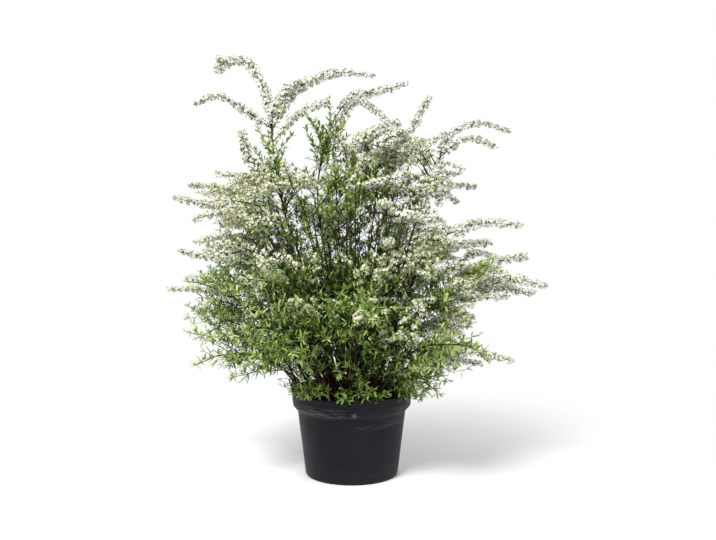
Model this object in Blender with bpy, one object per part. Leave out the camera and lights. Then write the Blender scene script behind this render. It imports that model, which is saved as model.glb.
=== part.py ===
"""Potted garland spirea in a round nursery container.

The shrub is a clump of thin arching canes that rise from a woody crown. Each cane
carries tapering flower sprays and leafy side shoots. The container is a thin turned
plastic shell with a stepped rim band, and a root ball of potting soil fills it.

Frame: metres, +Z up, origin at the centre of the container's base, front along -Y.
"""
import math

import bmesh
import bpy
import numpy as np
from mathutils import Matrix, Vector

# ---- driving dimensions (metres) ----------------------------------------------------
GAP = 0.0003                  # clearance between touching pieces

POT_HEIGHT = 0.197
RIM_RADIUS = 0.140            # outer radius at the lip
BAND_FOOT_RADIUS = 0.1358     # outer radius at the lower edge of the rim band
BAND_HEIGHT = 0.034
BAND_STEP = 0.013             # height of the sloping step under the band
NECK_RADIUS = 0.1243          # outer radius where the body meets the step
FOOT_RADIUS = 0.1075          # outer radius just above the base
FOOT_ROUND = 0.006
WALL = 0.0020
FLOOR = 0.0030
POT_SIDES = 48

DRAIN_HOLES = 8
DRAIN_RADIUS = 0.0060

SOIL_TOP = 0.172              # soil level, 25 mm under the lip
SOIL_EDGE_DROP = 0.003        # the soil sinks a little where it meets the wall
SOIL_EDGE_WIDTH = 0.012
FOOT_DEPTH = 0.022            # how deep the canes and the crown stand in the soil

CROWN_RADIUS = 0.0135
CROWN_SIDES = 10

CANE_FOOT_RADIUS = 0.0042
CANE_TIP_RADIUS = 0.0016
CANE_POINTS = 13
TUBE_BEVEL = 1                # bevel resolution 1 gives six sides

SPRAY_RADIUS = 0.0100         # half the width of a spray at its fullest
SPRAY_STALK_RADIUS = 0.0014
SPRAY_POINTS = 15
SPRAY_BEADS = 3.5             # flower clusters that swell the spray, in waves

SHOOT_RADIUS = 0.0013
SHOOT_POINTS = 7
SHOOT_BARE = 2.4              # route points passed before the first leaf
SHOOT_LEAVES = 13
LEAF_LENGTH = 0.024
LEAF_WIDTH = 0.0062
LEAF_THICKNESS = 0.0012
GOLDEN_ANGLE = math.radians(137.508)

# ---- the shrub's routes ----------------------------------------------------------------
# Canes, from the foot in the soil to the tip.
CANES = {
    "upright_left": ((-0.030, 0.012, 0.150), (-0.070, 0.000, 0.335), (-0.120, -0.010, 0.510),
                     (-0.150, -0.020, 0.600), (-0.170, -0.030, 0.705), (-0.180, -0.030, 0.805)),
    "upright_middle": ((-0.012, 0.040, 0.150), (-0.040, 0.040, 0.355), (-0.060, 0.050, 0.490),
                       (-0.080, 0.065, 0.635), (-0.070, 0.065, 0.730), (-0.040, 0.070, 0.825)),
    "top_right": ((0.026, 0.042, 0.150), (0.050, 0.060, 0.325), (0.075, 0.080, 0.465),
                  (0.085, 0.095, 0.635), (0.095, 0.100, 0.780)),
    "front_arch": ((-0.012, -0.035, 0.150), (-0.025, -0.065, 0.345), (-0.025, -0.105, 0.500),
                   (-0.005, -0.120, 0.570), (0.035, -0.140, 0.610), (0.090, -0.160, 0.600)),
    "right_high": ((0.034, 0.010, 0.150), (0.075, -0.005, 0.360), (0.115, -0.015, 0.475),
                   (0.150, -0.020, 0.600), (0.180, -0.020, 0.690), (0.200, -0.020, 0.730)),
    "right_middle": ((0.046, -0.022, 0.150), (0.100, -0.060, 0.355), (0.155, -0.085, 0.490),
                     (0.210, -0.100, 0.560)),
    "right_low": ((0.064, 0.006, 0.150), (0.120, -0.005, 0.315), (0.195, -0.025, 0.400),
                  (0.260, -0.040, 0.435)),
    "right_lowest": ((0.072, -0.036, 0.150), (0.125, -0.100, 0.260), (0.200, -0.140, 0.300)),
    "left_high": ((-0.046, 0.034, 0.150), (-0.100, 0.065, 0.330), (-0.160, 0.085, 0.470),
                  (-0.215, 0.095, 0.570), (-0.255, 0.100, 0.620)),
    "left_middle": ((-0.052, -0.014, 0.150), (-0.110, -0.055, 0.310), (-0.170, -0.095, 0.425),
                    (-0.210, -0.110, 0.495), (-0.240, -0.110, 0.525)),
    "left_low_middle": ((-0.066, -0.040, 0.150), (-0.135, -0.065, 0.290),
                        (-0.200, -0.065, 0.370), (-0.265, -0.050, 0.415)),
    "left_low": ((-0.086, 0.016, 0.150), (-0.125, 0.040, 0.195), (-0.160, 0.060, 0.265),
                 (-0.205, 0.090, 0.355), (-0.260, 0.110, 0.425)),
    "left_lowest": ((-0.094, -0.014, 0.150), (-0.120, -0.035, 0.205), (-0.170, -0.070, 0.270),
                    (-0.250, -0.110, 0.300)),
    "front_left": ((-0.040, -0.062, 0.150), (-0.090, -0.150, 0.290), (-0.135, -0.230, 0.360),
                   (-0.170, -0.290, 0.380)),
    "front_middle": ((0.004, -0.068, 0.150), (0.010, -0.150, 0.320), (0.020, -0.230, 0.400),
                     (0.030, -0.300, 0.420)),
    "front_right": ((0.042, -0.060, 0.150), (0.090, -0.150, 0.270), (0.150, -0.220, 0.330),
                    (0.205, -0.275, 0.345)),
    "back_left": ((-0.060, 0.062, 0.150), (-0.120, 0.140, 0.330), (-0.185, 0.210, 0.470),
                  (-0.240, 0.260, 0.540)),
    "back_middle": ((-0.020, 0.076, 0.150), (-0.040, 0.140, 0.370), (-0.060, 0.200, 0.540),
                    (-0.070, 0.260, 0.650)),
    "back_right": ((0.024, 0.078, 0.150), (0.060, 0.150, 0.340), (0.105, 0.220, 0.490),
                   (0.135, 0.290, 0.560)),
    "back_far_right": ((0.060, 0.050, 0.150), (0.130, 0.110, 0.310), (0.205, 0.160, 0.430),
                       (0.270, 0.200, 0.480)),
}

# Flower sprays: the cane that carries each one, then the route that it follows. A spray
# starts on its cane at the place nearest to its first point.
SPRAYS = (
    ("upright_left", ((-0.180, -0.030, 0.805), (-0.205, -0.010, 0.895), (-0.245, 0.020, 0.950),
                      (-0.320, 0.050, 0.945))),
    ("upright_left", ((-0.180, -0.030, 0.795), (-0.240, -0.065, 0.835),
                      (-0.290, -0.090, 0.860), (-0.340, -0.110, 0.840))),
    ("upright_left", ((-0.180, -0.030, 0.790), (-0.130, -0.020, 0.880),
                      (-0.035, -0.020, 0.915), (0.055, -0.020, 0.910))),
    ("upright_left", ((-0.180, -0.030, 0.765), (-0.110, -0.085, 0.825), (-0.045, -0.120, 0.845))),
    ("upright_left", ((-0.165, -0.030, 0.680), (-0.225, -0.055, 0.720), (-0.240, -0.080, 0.785))),
    ("upright_middle", ((-0.040, 0.070, 0.825), (0.000, 0.080, 0.875), (0.065, 0.095, 0.890),
                        (0.135, 0.100, 0.910))),
    ("upright_middle", ((-0.050, 0.070, 0.800), (0.020, 0.035, 0.845), (0.085, 0.020, 0.810))),
    ("top_right", ((0.095, 0.100, 0.740), (0.045, 0.045, 0.790), (-0.015, 0.000, 0.740))),
    ("top_right", ((0.095, 0.100, 0.780), (0.140, 0.135, 0.825), (0.190, 0.170, 0.885))),
    ("right_high", ((0.195, -0.020, 0.720), (0.230, 0.060, 0.785), (0.300, 0.090, 0.815),
                    (0.380, 0.100, 0.795))),
    ("right_high", ((0.200, -0.020, 0.730), (0.240, -0.030, 0.765), (0.280, -0.040, 0.770),
                    (0.325, -0.050, 0.750))),
    ("right_high", ((0.180, -0.020, 0.685), (0.205, -0.085, 0.715), (0.245, -0.120, 0.700))),
    ("right_high", ((0.160, -0.020, 0.630), (0.200, 0.015, 0.665), (0.295, 0.070, 0.665))),
    ("front_arch", ((0.085, -0.160, 0.600), (0.145, -0.185, 0.600), (0.195, -0.210, 0.575))),
    ("right_middle", ((0.210, -0.100, 0.560), (0.280, -0.125, 0.585), (0.370, -0.140, 0.580))),
    ("right_middle", ((0.150, -0.085, 0.480), (0.230, 0.005, 0.525), (0.330, 0.060, 0.535))),
    ("right_low", ((0.215, -0.030, 0.410), (0.300, 0.040, 0.480), (0.420, 0.090, 0.500))),
    ("right_low", ((0.260, -0.040, 0.435), (0.350, -0.080, 0.460), (0.432, -0.100, 0.445))),
    ("right_lowest", ((0.200, -0.140, 0.300), (0.265, -0.165, 0.310), (0.345, -0.190, 0.295))),
    ("left_high", ((-0.255, 0.100, 0.620), (-0.310, 0.115, 0.660), (-0.400, 0.140, 0.670))),
    ("left_high", ((-0.235, 0.095, 0.595), (-0.305, 0.060, 0.615), (-0.420, 0.050, 0.640))),
    ("left_middle", ((-0.240, -0.110, 0.525), (-0.305, -0.110, 0.510), (-0.375, -0.120, 0.525))),
    ("left_low_middle", ((-0.265, -0.050, 0.415), (-0.340, -0.025, 0.430),
                         (-0.425, 0.000, 0.430))),
    ("back_left", ((-0.240, 0.260, 0.540), (-0.285, 0.300, 0.570), (-0.320, 0.340, 0.560))),
    ("back_middle", ((-0.070, 0.260, 0.650), (-0.070, 0.300, 0.690), (-0.070, 0.350, 0.700))),
    ("back_right", ((0.135, 0.290, 0.560), (0.150, 0.330, 0.580), (0.170, 0.380, 0.575))),
    ("back_far_right", ((0.270, 0.200, 0.480), (0.320, 0.235, 0.500), (0.370, 0.260, 0.485))),
)

# Leafy side shoots, in the same form as the sprays.
LEAFY_SHOOTS = (
    ("left_low", ((-0.175, 0.070, 0.295), (-0.245, 0.100, 0.315), (-0.330, 0.125, 0.300),
                  (-0.410, 0.150, 0.310))),
    ("left_lowest", ((-0.250, -0.110, 0.300), (-0.295, -0.130, 0.295), (-0.335, -0.150, 0.280))),
    ("left_lowest", ((-0.185, -0.080, 0.275), (-0.210, -0.130, 0.255), (-0.255, -0.160, 0.245))),
    ("left_low", ((-0.260, 0.110, 0.425), (-0.295, 0.120, 0.450), (-0.340, 0.130, 0.455))),
    ("front_left", ((-0.170, -0.290, 0.380), (-0.195, -0.330, 0.385), (-0.215, -0.365, 0.370))),
    ("front_middle", ((0.030, -0.300, 0.420), (0.035, -0.335, 0.425), (0.040, -0.370, 0.410))),
    ("front_right", ((0.205, -0.275, 0.345), (0.240, -0.310, 0.345), (0.265, -0.340, 0.325))),
    ("front_left", ((-0.060, -0.095, 0.215), (-0.100, -0.110, 0.235), (-0.135, -0.130, 0.230))),
    ("right_lowest", ((0.110, -0.075, 0.235), (0.160, -0.085, 0.230), (0.195, -0.095, 0.205))),
    ("right_low", ((0.170, -0.055, 0.385), (0.205, -0.125, 0.400), (0.245, -0.160, 0.390))),
)

COLOURS = {
    "pot_plastic": ((0.023, 0.024, 0.029, 1.0), 0.55),
    "potting_soil": ((0.035, 0.024, 0.017, 1.0), 0.95),
    "crown_bark": ((0.120, 0.055, 0.032, 1.0), 0.85),
    "cane_bark": ((0.085, 0.045, 0.030, 1.0), 0.70),
    "spray_flowers": ((0.800, 0.800, 0.680, 1.0), 0.60),
    "shoot_leaves": ((0.150, 0.290, 0.050, 1.0), 0.50),
}


# ---- scene and materials ---------------------------------------------------------------
def clear_scene():
    """Remove whatever objects the open file holds."""
    for old in list(bpy.data.objects):
        bpy.data.objects.remove(old, do_unlink=True)


def material(name):
    """Principled material in the named finish."""
    found = bpy.data.materials.get(name)
    if found:
        return found
    colour, roughness = COLOURS[name]
    made = bpy.data.materials.new(name)
    made.use_nodes = True
    shader = made.node_tree.nodes["Principled BSDF"]
    shader.inputs["Base Color"].default_value = colour
    shader.inputs["Roughness"].default_value = roughness
    shader.inputs["Metallic"].default_value = 0.0
    return made


def add_object(name, data, finish):
    """Link an object that holds the data and wears the finish."""
    made = bpy.data.objects.new(name, data)
    bpy.context.scene.collection.objects.link(made)
    data.materials.clear()
    data.materials.append(material(finish))
    return made


def object_from_bmesh(name, mesh_edit, finish):
    """Turn a bmesh into an object, with its faces pointing out."""
    bmesh.ops.recalc_face_normals(mesh_edit, faces=mesh_edit.faces)
    mesh = bpy.data.meshes.new(name)
    mesh_edit.to_mesh(mesh)
    mesh_edit.free()
    return add_object(name, mesh, finish)


def boolean(target, cutter, operation, crossing=False):
    """Join or cut the target with a hidden helper object, whose own faces may cross."""
    cutter.hide_render = True
    cutter.display_type = "WIRE"
    step = target.modifiers.new(f"{operation.lower()}_{cutter.name}", "BOOLEAN")
    step.operation = operation
    step.solver = "EXACT"
    step.use_self = crossing
    step.object = cutter


# ---- routes ------------------------------------------------------------------------------
def smooth_route(points, count):
    """Points evenly spaced along a Catmull-Rom curve through the given ones."""
    knots = np.array(points, dtype=float)
    padded = np.vstack((2 * knots[0] - knots[1], knots, 2 * knots[-1] - knots[-2]))
    share = np.linspace(0.0, 1.0, 24, endpoint=False)[:, None]
    pieces = []
    for a, b, c, d in zip(padded, padded[1:], padded[2:], padded[3:]):
        pieces.append(0.5 * (2 * b + (c - a) * share
                             + (2 * a - 5 * b + 4 * c - d) * share ** 2
                             + (3 * b - a - 3 * c + d) * share ** 3))
    fine = np.vstack(pieces + [knots[-1:]])
    run = np.concatenate(([0.0], np.cumsum(np.linalg.norm(np.diff(fine, axis=0), axis=1))))
    wanted = np.linspace(0.0, run[-1], count)
    return np.column_stack([np.interp(wanted, run, fine[:, axis]) for axis in range(3)])


def cane_bar(name, steps):
    """The cane's straight runs between its bends, divided into a number of steps each."""
    bends = smooth_route(CANES[name], CANE_POINTS)
    stations = np.linspace(0.0, CANE_POINTS - 1, (CANE_POINTS - 1) * steps + 1)
    return np.column_stack([np.interp(stations, np.arange(CANE_POINTS), bends[:, axis])
                            for axis in range(3)])


def unit(vector):
    """The vector at length one."""
    return vector / np.linalg.norm(vector)


def cane_radius(share):
    """A cane thins evenly from its foot to its tip."""
    return CANE_FOOT_RADIUS + (CANE_TIP_RADIUS - CANE_FOOT_RADIUS) * share


def seat(cane_name, toward):
    """Where a side growth meets its cane.

    Returns the point just clear of the cane's bark and the direction in which the growth
    leaves: square to the cane, or straight on from the cane's tip.
    """
    cane = cane_bar(cane_name, 8)
    nearest = int(np.argmin(np.linalg.norm(cane - np.array(toward[0]), axis=1)))
    if nearest == len(cane) - 1:
        onward = unit(cane[-1] - cane[-2])
        return cane[-1] + onward * GAP, onward
    along = unit(cane[nearest + 1] - cane[nearest])
    aim = np.array(toward[1]) - cane[nearest]
    square = unit(aim - along * np.dot(aim, along))
    bark = cane_radius(nearest / (len(cane) - 1))
    return cane[nearest] + square * (bark + GAP), square


def seated_route(cane_name, toward, count, collar):
    """Route of a side growth: a short collar square to its cane, then the given points."""
    start, leaving = seat(cane_name, toward)
    points = [start + leaving * collar] + [np.array(point) for point in toward[1:]]
    return np.vstack((start, smooth_route(points, count - 1)))


def tube(name, route, radii, finish):
    """A round bar along the route, closed at both ends, as a bevelled curve."""
    curve = bpy.data.curves.new(name, "CURVE")
    curve.dimensions = "3D"
    curve.bevel_depth = 1.0
    curve.bevel_resolution = TUBE_BEVEL
    curve.use_fill_caps = True
    curve.twist_mode = "MINIMUM"
    spline = curve.splines.new("POLY")
    spline.points.add(len(route) - 1)
    for point, place, radius in zip(spline.points, route, radii):
        point.co = (*place, 1.0)
        point.radius = radius
    return add_object(name, curve, finish)


def solid_tube(name, route, radii, finish):
    """The same round bar as one closed mesh, ready to be joined or used as a cutter."""
    bar = tube(f"{name}_curve", route, radii, finish)
    edit = bmesh.new()
    edit.from_mesh(bpy.data.meshes.new_from_object(bar))
    bpy.data.objects.remove(bar)
    bmesh.ops.remove_doubles(edit, verts=edit.verts, dist=0.00001)
    return object_from_bmesh(name, edit, finish)


# ---- container ---------------------------------------------------------------------------
def pot_outer_profile():
    """Radius and height down the outside, from the lip to the foot."""
    band_foot = POT_HEIGHT - BAND_HEIGHT
    return [(RIM_RADIUS - 0.0006, POT_HEIGHT), (RIM_RADIUS, POT_HEIGHT - 0.0012),
            (RIM_RADIUS - 0.0006, POT_HEIGHT - 0.006),
            (BAND_FOOT_RADIUS, band_foot),
            (BAND_FOOT_RADIUS - 0.0012, band_foot - 0.001),
            (NECK_RADIUS, band_foot - BAND_STEP),
            (FOOT_RADIUS, FOOT_ROUND), (FOOT_RADIUS - FOOT_ROUND * 0.3, FOOT_ROUND * 0.3),
            (FOOT_RADIUS - FOOT_ROUND, 0.0)]


def pot_inner_profile():
    """Radius and height up the inside, from the floor to the lip."""
    band_foot = POT_HEIGHT - BAND_HEIGHT
    return [(FOOT_RADIUS - FOOT_ROUND, FLOOR), (FOOT_RADIUS - WALL, FOOT_ROUND + FLOOR),
            (NECK_RADIUS - WALL, band_foot - BAND_STEP + WALL * 0.4),
            (BAND_FOOT_RADIUS - WALL, band_foot + WALL * 0.6),
            (RIM_RADIUS - WALL, POT_HEIGHT - 0.003),
            (RIM_RADIUS - WALL, POT_HEIGHT)]


def turned(name, profile, finish, sides=POT_SIDES):
    """Solid of revolution about Z; the profile runs from the axis back to the axis."""
    edit = bmesh.new()
    chain = [edit.verts.new((radius, 0.0, height)) for radius, height in profile]
    edges = [edit.edges.new(pair) for pair in zip(chain, chain[1:])]
    bmesh.ops.spin(edit, geom=chain + edges, axis=(0, 0, 1), cent=(0, 0, 0),
                   angle=math.tau, steps=sides, use_merge=True)
    bmesh.ops.remove_doubles(edit, verts=edit.verts, dist=0.00001)
    return object_from_bmesh(name, edit, finish)


def cylinder(name, radius, length, place, direction, finish, sides):
    """Plain cylinder centred on a place, its axis along a direction."""
    turn = Vector((0, 0, 1)).rotation_difference(Vector(direction)).to_matrix().to_4x4()
    edit = bmesh.new()
    bmesh.ops.create_cone(edit, cap_ends=True, segments=sides, radius1=radius, radius2=radius,
                          depth=length, matrix=Matrix.Translation(place) @ turn)
    return object_from_bmesh(name, edit, finish)


def make_pot():
    """Thin shell with a stepped rim band, with drain holes round the edge of its base."""
    inside = [(0.0, FLOOR)] + pot_inner_profile()
    outside = pot_outer_profile() + [(0.0, 0.0)]
    pot = turned("pot", inside + outside, "pot_plastic")
    for hole in range(DRAIN_HOLES):
        angle = math.tau * (hole + 0.5) / DRAIN_HOLES
        outward = (math.cos(angle), math.sin(angle))
        reach = FOOT_RADIUS - DRAIN_RADIUS * 0.6
        cutter = cylinder(f"drain_cutter_{hole:02d}", DRAIN_RADIUS, 0.034,
                          (outward[0] * reach, outward[1] * reach, 0.0),
                          (outward[0], outward[1], -1.0), "pot_plastic", 10)
        boolean(pot, cutter, "DIFFERENCE")


# ---- soil and crown ------------------------------------------------------------------------
def make_soil():
    """Root ball of potting soil, bored where the crown and the canes stand in it."""
    inner = [(radius - GAP, height) for radius, height in pot_inner_profile()]
    wall = [(inner[0][0], FLOOR + GAP)] + inner[1:4]
    edge_height = SOIL_TOP - SOIL_EDGE_DROP
    span = (edge_height - inner[3][1]) / (inner[4][1] - inner[3][1])
    edge = inner[3][0] + (inner[4][0] - inner[3][0]) * span
    top = [(edge, edge_height), (edge - SOIL_EDGE_WIDTH, SOIL_TOP), (0.0, SOIL_TOP)]
    soil = turned("soil", [(0.0, FLOOR + GAP)] + wall + top, "potting_soil")
    for name in CANES:
        route = cane_bar(name, 1)[:3]
        route[0] -= unit(route[1] - route[0]) * GAP
        bore = [CANE_FOOT_RADIUS + GAP] * len(route)
        boolean(soil, solid_tube(f"cutter_{name}", route, bore, "potting_soil"), "DIFFERENCE")
    depth = FOOT_DEPTH + GAP
    pocket = cylinder("cutter_crown", CROWN_RADIUS + GAP, depth * 2,
                      (0, 0, SOIL_TOP), (0, 0, 1), "potting_soil", CROWN_SIDES)
    boolean(soil, pocket, "DIFFERENCE")


def make_crown():
    """Woody crown: a short stump with the stubs of old, cut canes."""
    edit = bmesh.new()
    bmesh.ops.create_cone(edit, cap_ends=True, segments=CROWN_SIDES, radius1=CROWN_RADIUS,
                          radius2=CROWN_RADIUS * 0.85, depth=FOOT_DEPTH + 0.018,
                          matrix=Matrix.Translation((0, 0, SOIL_TOP - FOOT_DEPTH + 0.020)))
    crown = object_from_bmesh("crown", edit, "crown_bark")
    stubs = (((-0.004, -0.002, 0.170), (-0.016, -0.008, 0.232), 0.0062),
             ((0.005, 0.003, 0.170), (0.006, 0.001, 0.218), 0.0052),
             ((-0.002, 0.005, 0.170), (-0.008, 0.016, 0.214), 0.0048))
    for number, (low, high, radius) in enumerate(stubs, start=1):
        axis = np.array(high) - np.array(low)
        middle = (np.array(high) + np.array(low)) / 2
        stub = cylinder(f"stub_{number}", radius, float(np.linalg.norm(axis)),
                        middle, axis, "crown_bark", 8)
        boolean(crown, stub, "UNION")


# ---- canes, sprays and leafy shoots ----------------------------------------------------------
def make_canes():
    """Tapering stems, each one rooted in its own bore in the soil."""
    for name in CANES:
        radii = cane_radius(np.linspace(0.0, 1.0, CANE_POINTS))
        tube(f"cane_{name}", cane_bar(name, 1), radii, "cane_bark")


def make_sprays():
    """Flower sprays: a thin stalk that swells into clusters and tapers to its tip."""
    share = np.linspace(0.0, 1.0, SPRAY_POINTS)
    rise = np.clip((share - 0.06) / 0.14, 0.0, 1.0)
    taper = 1.0 - 0.55 * share ** 1.5
    beads = 1.0 + 0.14 * np.cos(math.tau * SPRAY_BEADS * share)
    radii = SPRAY_STALK_RADIUS + (SPRAY_RADIUS * taper * beads - SPRAY_STALK_RADIUS) * rise
    for number, (cane, toward) in enumerate(SPRAYS, start=1):
        route = seated_route(cane, toward, SPRAY_POINTS, 0.006)
        tube(f"flower_spray_{number:02d}", route, radii, "spray_flowers")


def leaf_blade(edit, place, direction, lift):
    """A flat pointed blade, as the hull of its base, tip, edges and two faces."""
    side = unit(np.cross(direction, lift))
    face = unit(np.cross(side, direction))
    middle = place + direction * LEAF_LENGTH * 0.45
    corners = (place, place + direction * LEAF_LENGTH,
               middle - side * LEAF_WIDTH / 2, middle + side * LEAF_WIDTH / 2,
               middle - face * LEAF_THICKNESS / 2, middle + face * LEAF_THICKNESS / 2)
    verts = [edit.verts.new(corner) for corner in corners]
    bmesh.ops.convex_hull(edit, input=verts)


def make_leafy_shoots():
    """Thin twigs with narrow leaves set round them in a spiral."""
    up = np.array((0.0, 0.0, 1.0))
    for number, (cane, toward) in enumerate(LEAFY_SHOOTS, start=1):
        route = seated_route(cane, toward, SHOOT_POINTS, 0.005)
        radii = np.linspace(SHOOT_RADIUS, SHOOT_RADIUS * 0.7, SHOOT_POINTS)
        shoot = solid_tube(f"leafy_shoot_{number:02d}", route, radii, "shoot_leaves")
        edit = bmesh.new()
        for leaf in range(SHOOT_LEAVES):
            place = SHOOT_BARE + (SHOOT_POINTS - 1.2 - SHOOT_BARE) * leaf / (SHOOT_LEAVES - 1)
            joint = int(place)
            run = route[joint + 1] - route[joint]
            along = unit(run)
            across = unit(np.cross(along, up))
            over = np.cross(across, along)
            turn = GOLDEN_ANGLE * leaf
            outward = across * math.cos(turn) + over * math.sin(turn)
            root = route[joint] + run * (place - joint)
            leaf_blade(edit, root, unit(outward + along * 0.9), along)
        blades = object_from_bmesh(f"blades_{number:02d}", edit, "shoot_leaves")
        boolean(shoot, blades, "UNION", crossing=True)


def main():
    """Build the shrub and its container."""
    clear_scene()
    make_pot()
    make_soil()
    make_crown()
    make_canes()
    make_sprays()
    make_leafy_shoots()


main()
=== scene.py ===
"""A garland spirea in flower, in the round nursery pot that it is sold in.

Lengths are metres, but millimetres in the tables of routes, thickets and clearings.  The
canes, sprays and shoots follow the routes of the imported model; what grows on them is worked
out here, as whole arrays.
"""

import math

import bpy
import numpy as np
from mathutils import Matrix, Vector


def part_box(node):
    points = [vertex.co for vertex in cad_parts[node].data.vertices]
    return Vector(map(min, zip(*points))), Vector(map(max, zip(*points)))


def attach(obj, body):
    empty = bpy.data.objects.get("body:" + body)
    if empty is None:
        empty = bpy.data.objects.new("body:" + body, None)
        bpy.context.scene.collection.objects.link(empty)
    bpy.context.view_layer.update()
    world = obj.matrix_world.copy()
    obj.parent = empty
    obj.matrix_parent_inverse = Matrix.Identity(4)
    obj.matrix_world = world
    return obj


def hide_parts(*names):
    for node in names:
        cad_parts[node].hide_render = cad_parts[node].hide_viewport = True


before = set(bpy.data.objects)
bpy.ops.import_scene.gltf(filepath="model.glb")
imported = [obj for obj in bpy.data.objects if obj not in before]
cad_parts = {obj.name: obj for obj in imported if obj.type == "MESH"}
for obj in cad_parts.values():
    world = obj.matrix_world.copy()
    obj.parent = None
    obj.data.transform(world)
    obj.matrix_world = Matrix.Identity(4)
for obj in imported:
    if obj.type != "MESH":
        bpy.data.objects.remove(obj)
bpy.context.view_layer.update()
SEED = 54
chance = np.random.default_rng(SEED)
# Streams of chance that follow that first one; the thickets take theirs from 0 on.
STREAMS = {"sprays": 100, "short_sprays": 101, "leafy_shoots": 102, "inner_canes": 200,
           "heart": 220, "bare_canes": 221, "basal_shoots": 222, "pieces": 300}

# ---- camera and light ----------------------------------------------------------------------
EYE = (0.0148, -2.2, 0.648)
AIM = (0.0148, 0.0, 0.474)
LENS = 48.27                  # millimetres, on a 36 mm wide sensor
WORLD_LIGHT = 0.18
LAMP_AIM = (0.0, 0.0, 0.45)
LAMPS = (("key_lamp", (-1.2, -2.2, 3.0), 1.35, 176.0),      # place, width in metres, watts
         ("fill_lamp", (2.2, -1.6, 1.3), 2.0, 33.0),
         ("back_lamp", (0.3, 2.2, 2.4), 1.6, 38.0))
FLOOR_RADIUS = 4.0
FLOOR_SIDES = 96
FLOOR_FADE = (0.17, 1.2)      # the floor fades into the surround between these distances

# ---- pot, soil and crown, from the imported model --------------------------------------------
pot_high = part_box("pot")[1]
soil_low, soil_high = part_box("soil")
POT_HEIGHT = pot_high.z
RIM_RADIUS = pot_high.x
BAND_HEIGHT = 0.034
BAND_STEP = 0.013
BAND_FOOT_RADIUS = RIM_RADIUS - 0.0042
NECK_RADIUS = RIM_RADIUS - 0.0157
FOOT_RADIUS = RIM_RADIUS - 0.0325
BAND_FOOT = POT_HEIGHT - BAND_HEIGHT
NECK = BAND_FOOT - BAND_STEP
POT_SIDES = 104
WALL = 0.002
FLOOR = 0.003
BASE_RECESS = 0.0011
NUB = (0.006, -BAND_FOOT_RADIUS, BAND_FOOT + 0.0012)
NUB_RADIUS = 0.0043
DRAIN_HOLES = 8
DRAIN_RADIUS = 0.006
SOIL_TOP = soil_high.z
SOIL_SIDES = 72
CRUMBS = 800
BARK_CHIPS = 150

# ---- the shrub's routes, in millimetres ----------------------------------------------------
CANES = {
    "upright_left": ((-30, 12, 150), (-70, 0, 335), (-120, -10, 510), (-150, -20, 600),
        (-170, -30, 705), (-180, -30, 805)),
    "upright_middle": ((-12, 40, 150), (-40, 40, 355), (-60, 50, 490), (-80, 65, 635), (-70, 65, 730),
        (-40, 70, 825)),
    "top_right": ((26, 42, 150), (50, 60, 325), (75, 80, 465), (85, 95, 635), (95, 100, 780)),
    "front_arch": ((-12, -35, 150), (-25, -65, 345), (-25, -105, 500), (-5, -120, 570), (35, -140, 610),
        (90, -160, 600)),
    "right_high": ((34, 10, 150), (75, -5, 360), (115, -15, 475), (150, -20, 600), (180, -20, 690),
        (200, -20, 730)),
    "right_middle": ((46, -22, 150), (100, -60, 355), (155, -85, 490), (210, -100, 560)),
    "right_low": ((64, 6, 150), (120, -5, 315), (195, -25, 400), (260, -40, 435)),
    "right_lowest": ((72, -36, 150), (125, -100, 260), (200, -140, 300)),
    "left_high": ((-46, 34, 150), (-100, 65, 330), (-160, 85, 470), (-215, 95, 570), (-255, 100, 620)),
    "left_middle": ((-52, -14, 150), (-110, -55, 310), (-170, -95, 425), (-210, -110, 495),
        (-240, -110, 525)),
    "left_low_middle": ((-66, -40, 150), (-135, -65, 290), (-200, -65, 370), (-265, -50, 415)),
    "left_low": ((-86, 16, 150), (-125, 40, 195), (-160, 60, 265), (-205, 90, 355), (-260, 110, 425)),
    "left_lowest": ((-94, -14, 150), (-120, -35, 205), (-170, -70, 270), (-250, -110, 300)),
    "front_left": ((-40, -62, 150), (-90, -150, 290), (-135, -230, 360), (-170, -290, 380)),
    "front_middle": ((4, -68, 150), (10, -150, 320), (20, -230, 400), (30, -300, 420)),
    "front_right": ((42, -60, 150), (90, -150, 270), (150, -220, 330), (205, -275, 345)),
    "back_left": ((-60, 62, 150), (-120, 140, 330), (-185, 210, 470), (-240, 260, 540)),
    "back_middle": ((-20, 76, 150), (-40, 140, 370), (-60, 200, 540), (-70, 260, 650)),
    "back_right": ((24, 78, 150), (60, 150, 340), (105, 220, 490), (135, 290, 560)),
    "back_far_right": ((60, 50, 150), (130, 110, 310), (205, 160, 430), (270, 200, 480)),
}
CANE_NAMES = list(CANES)
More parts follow.
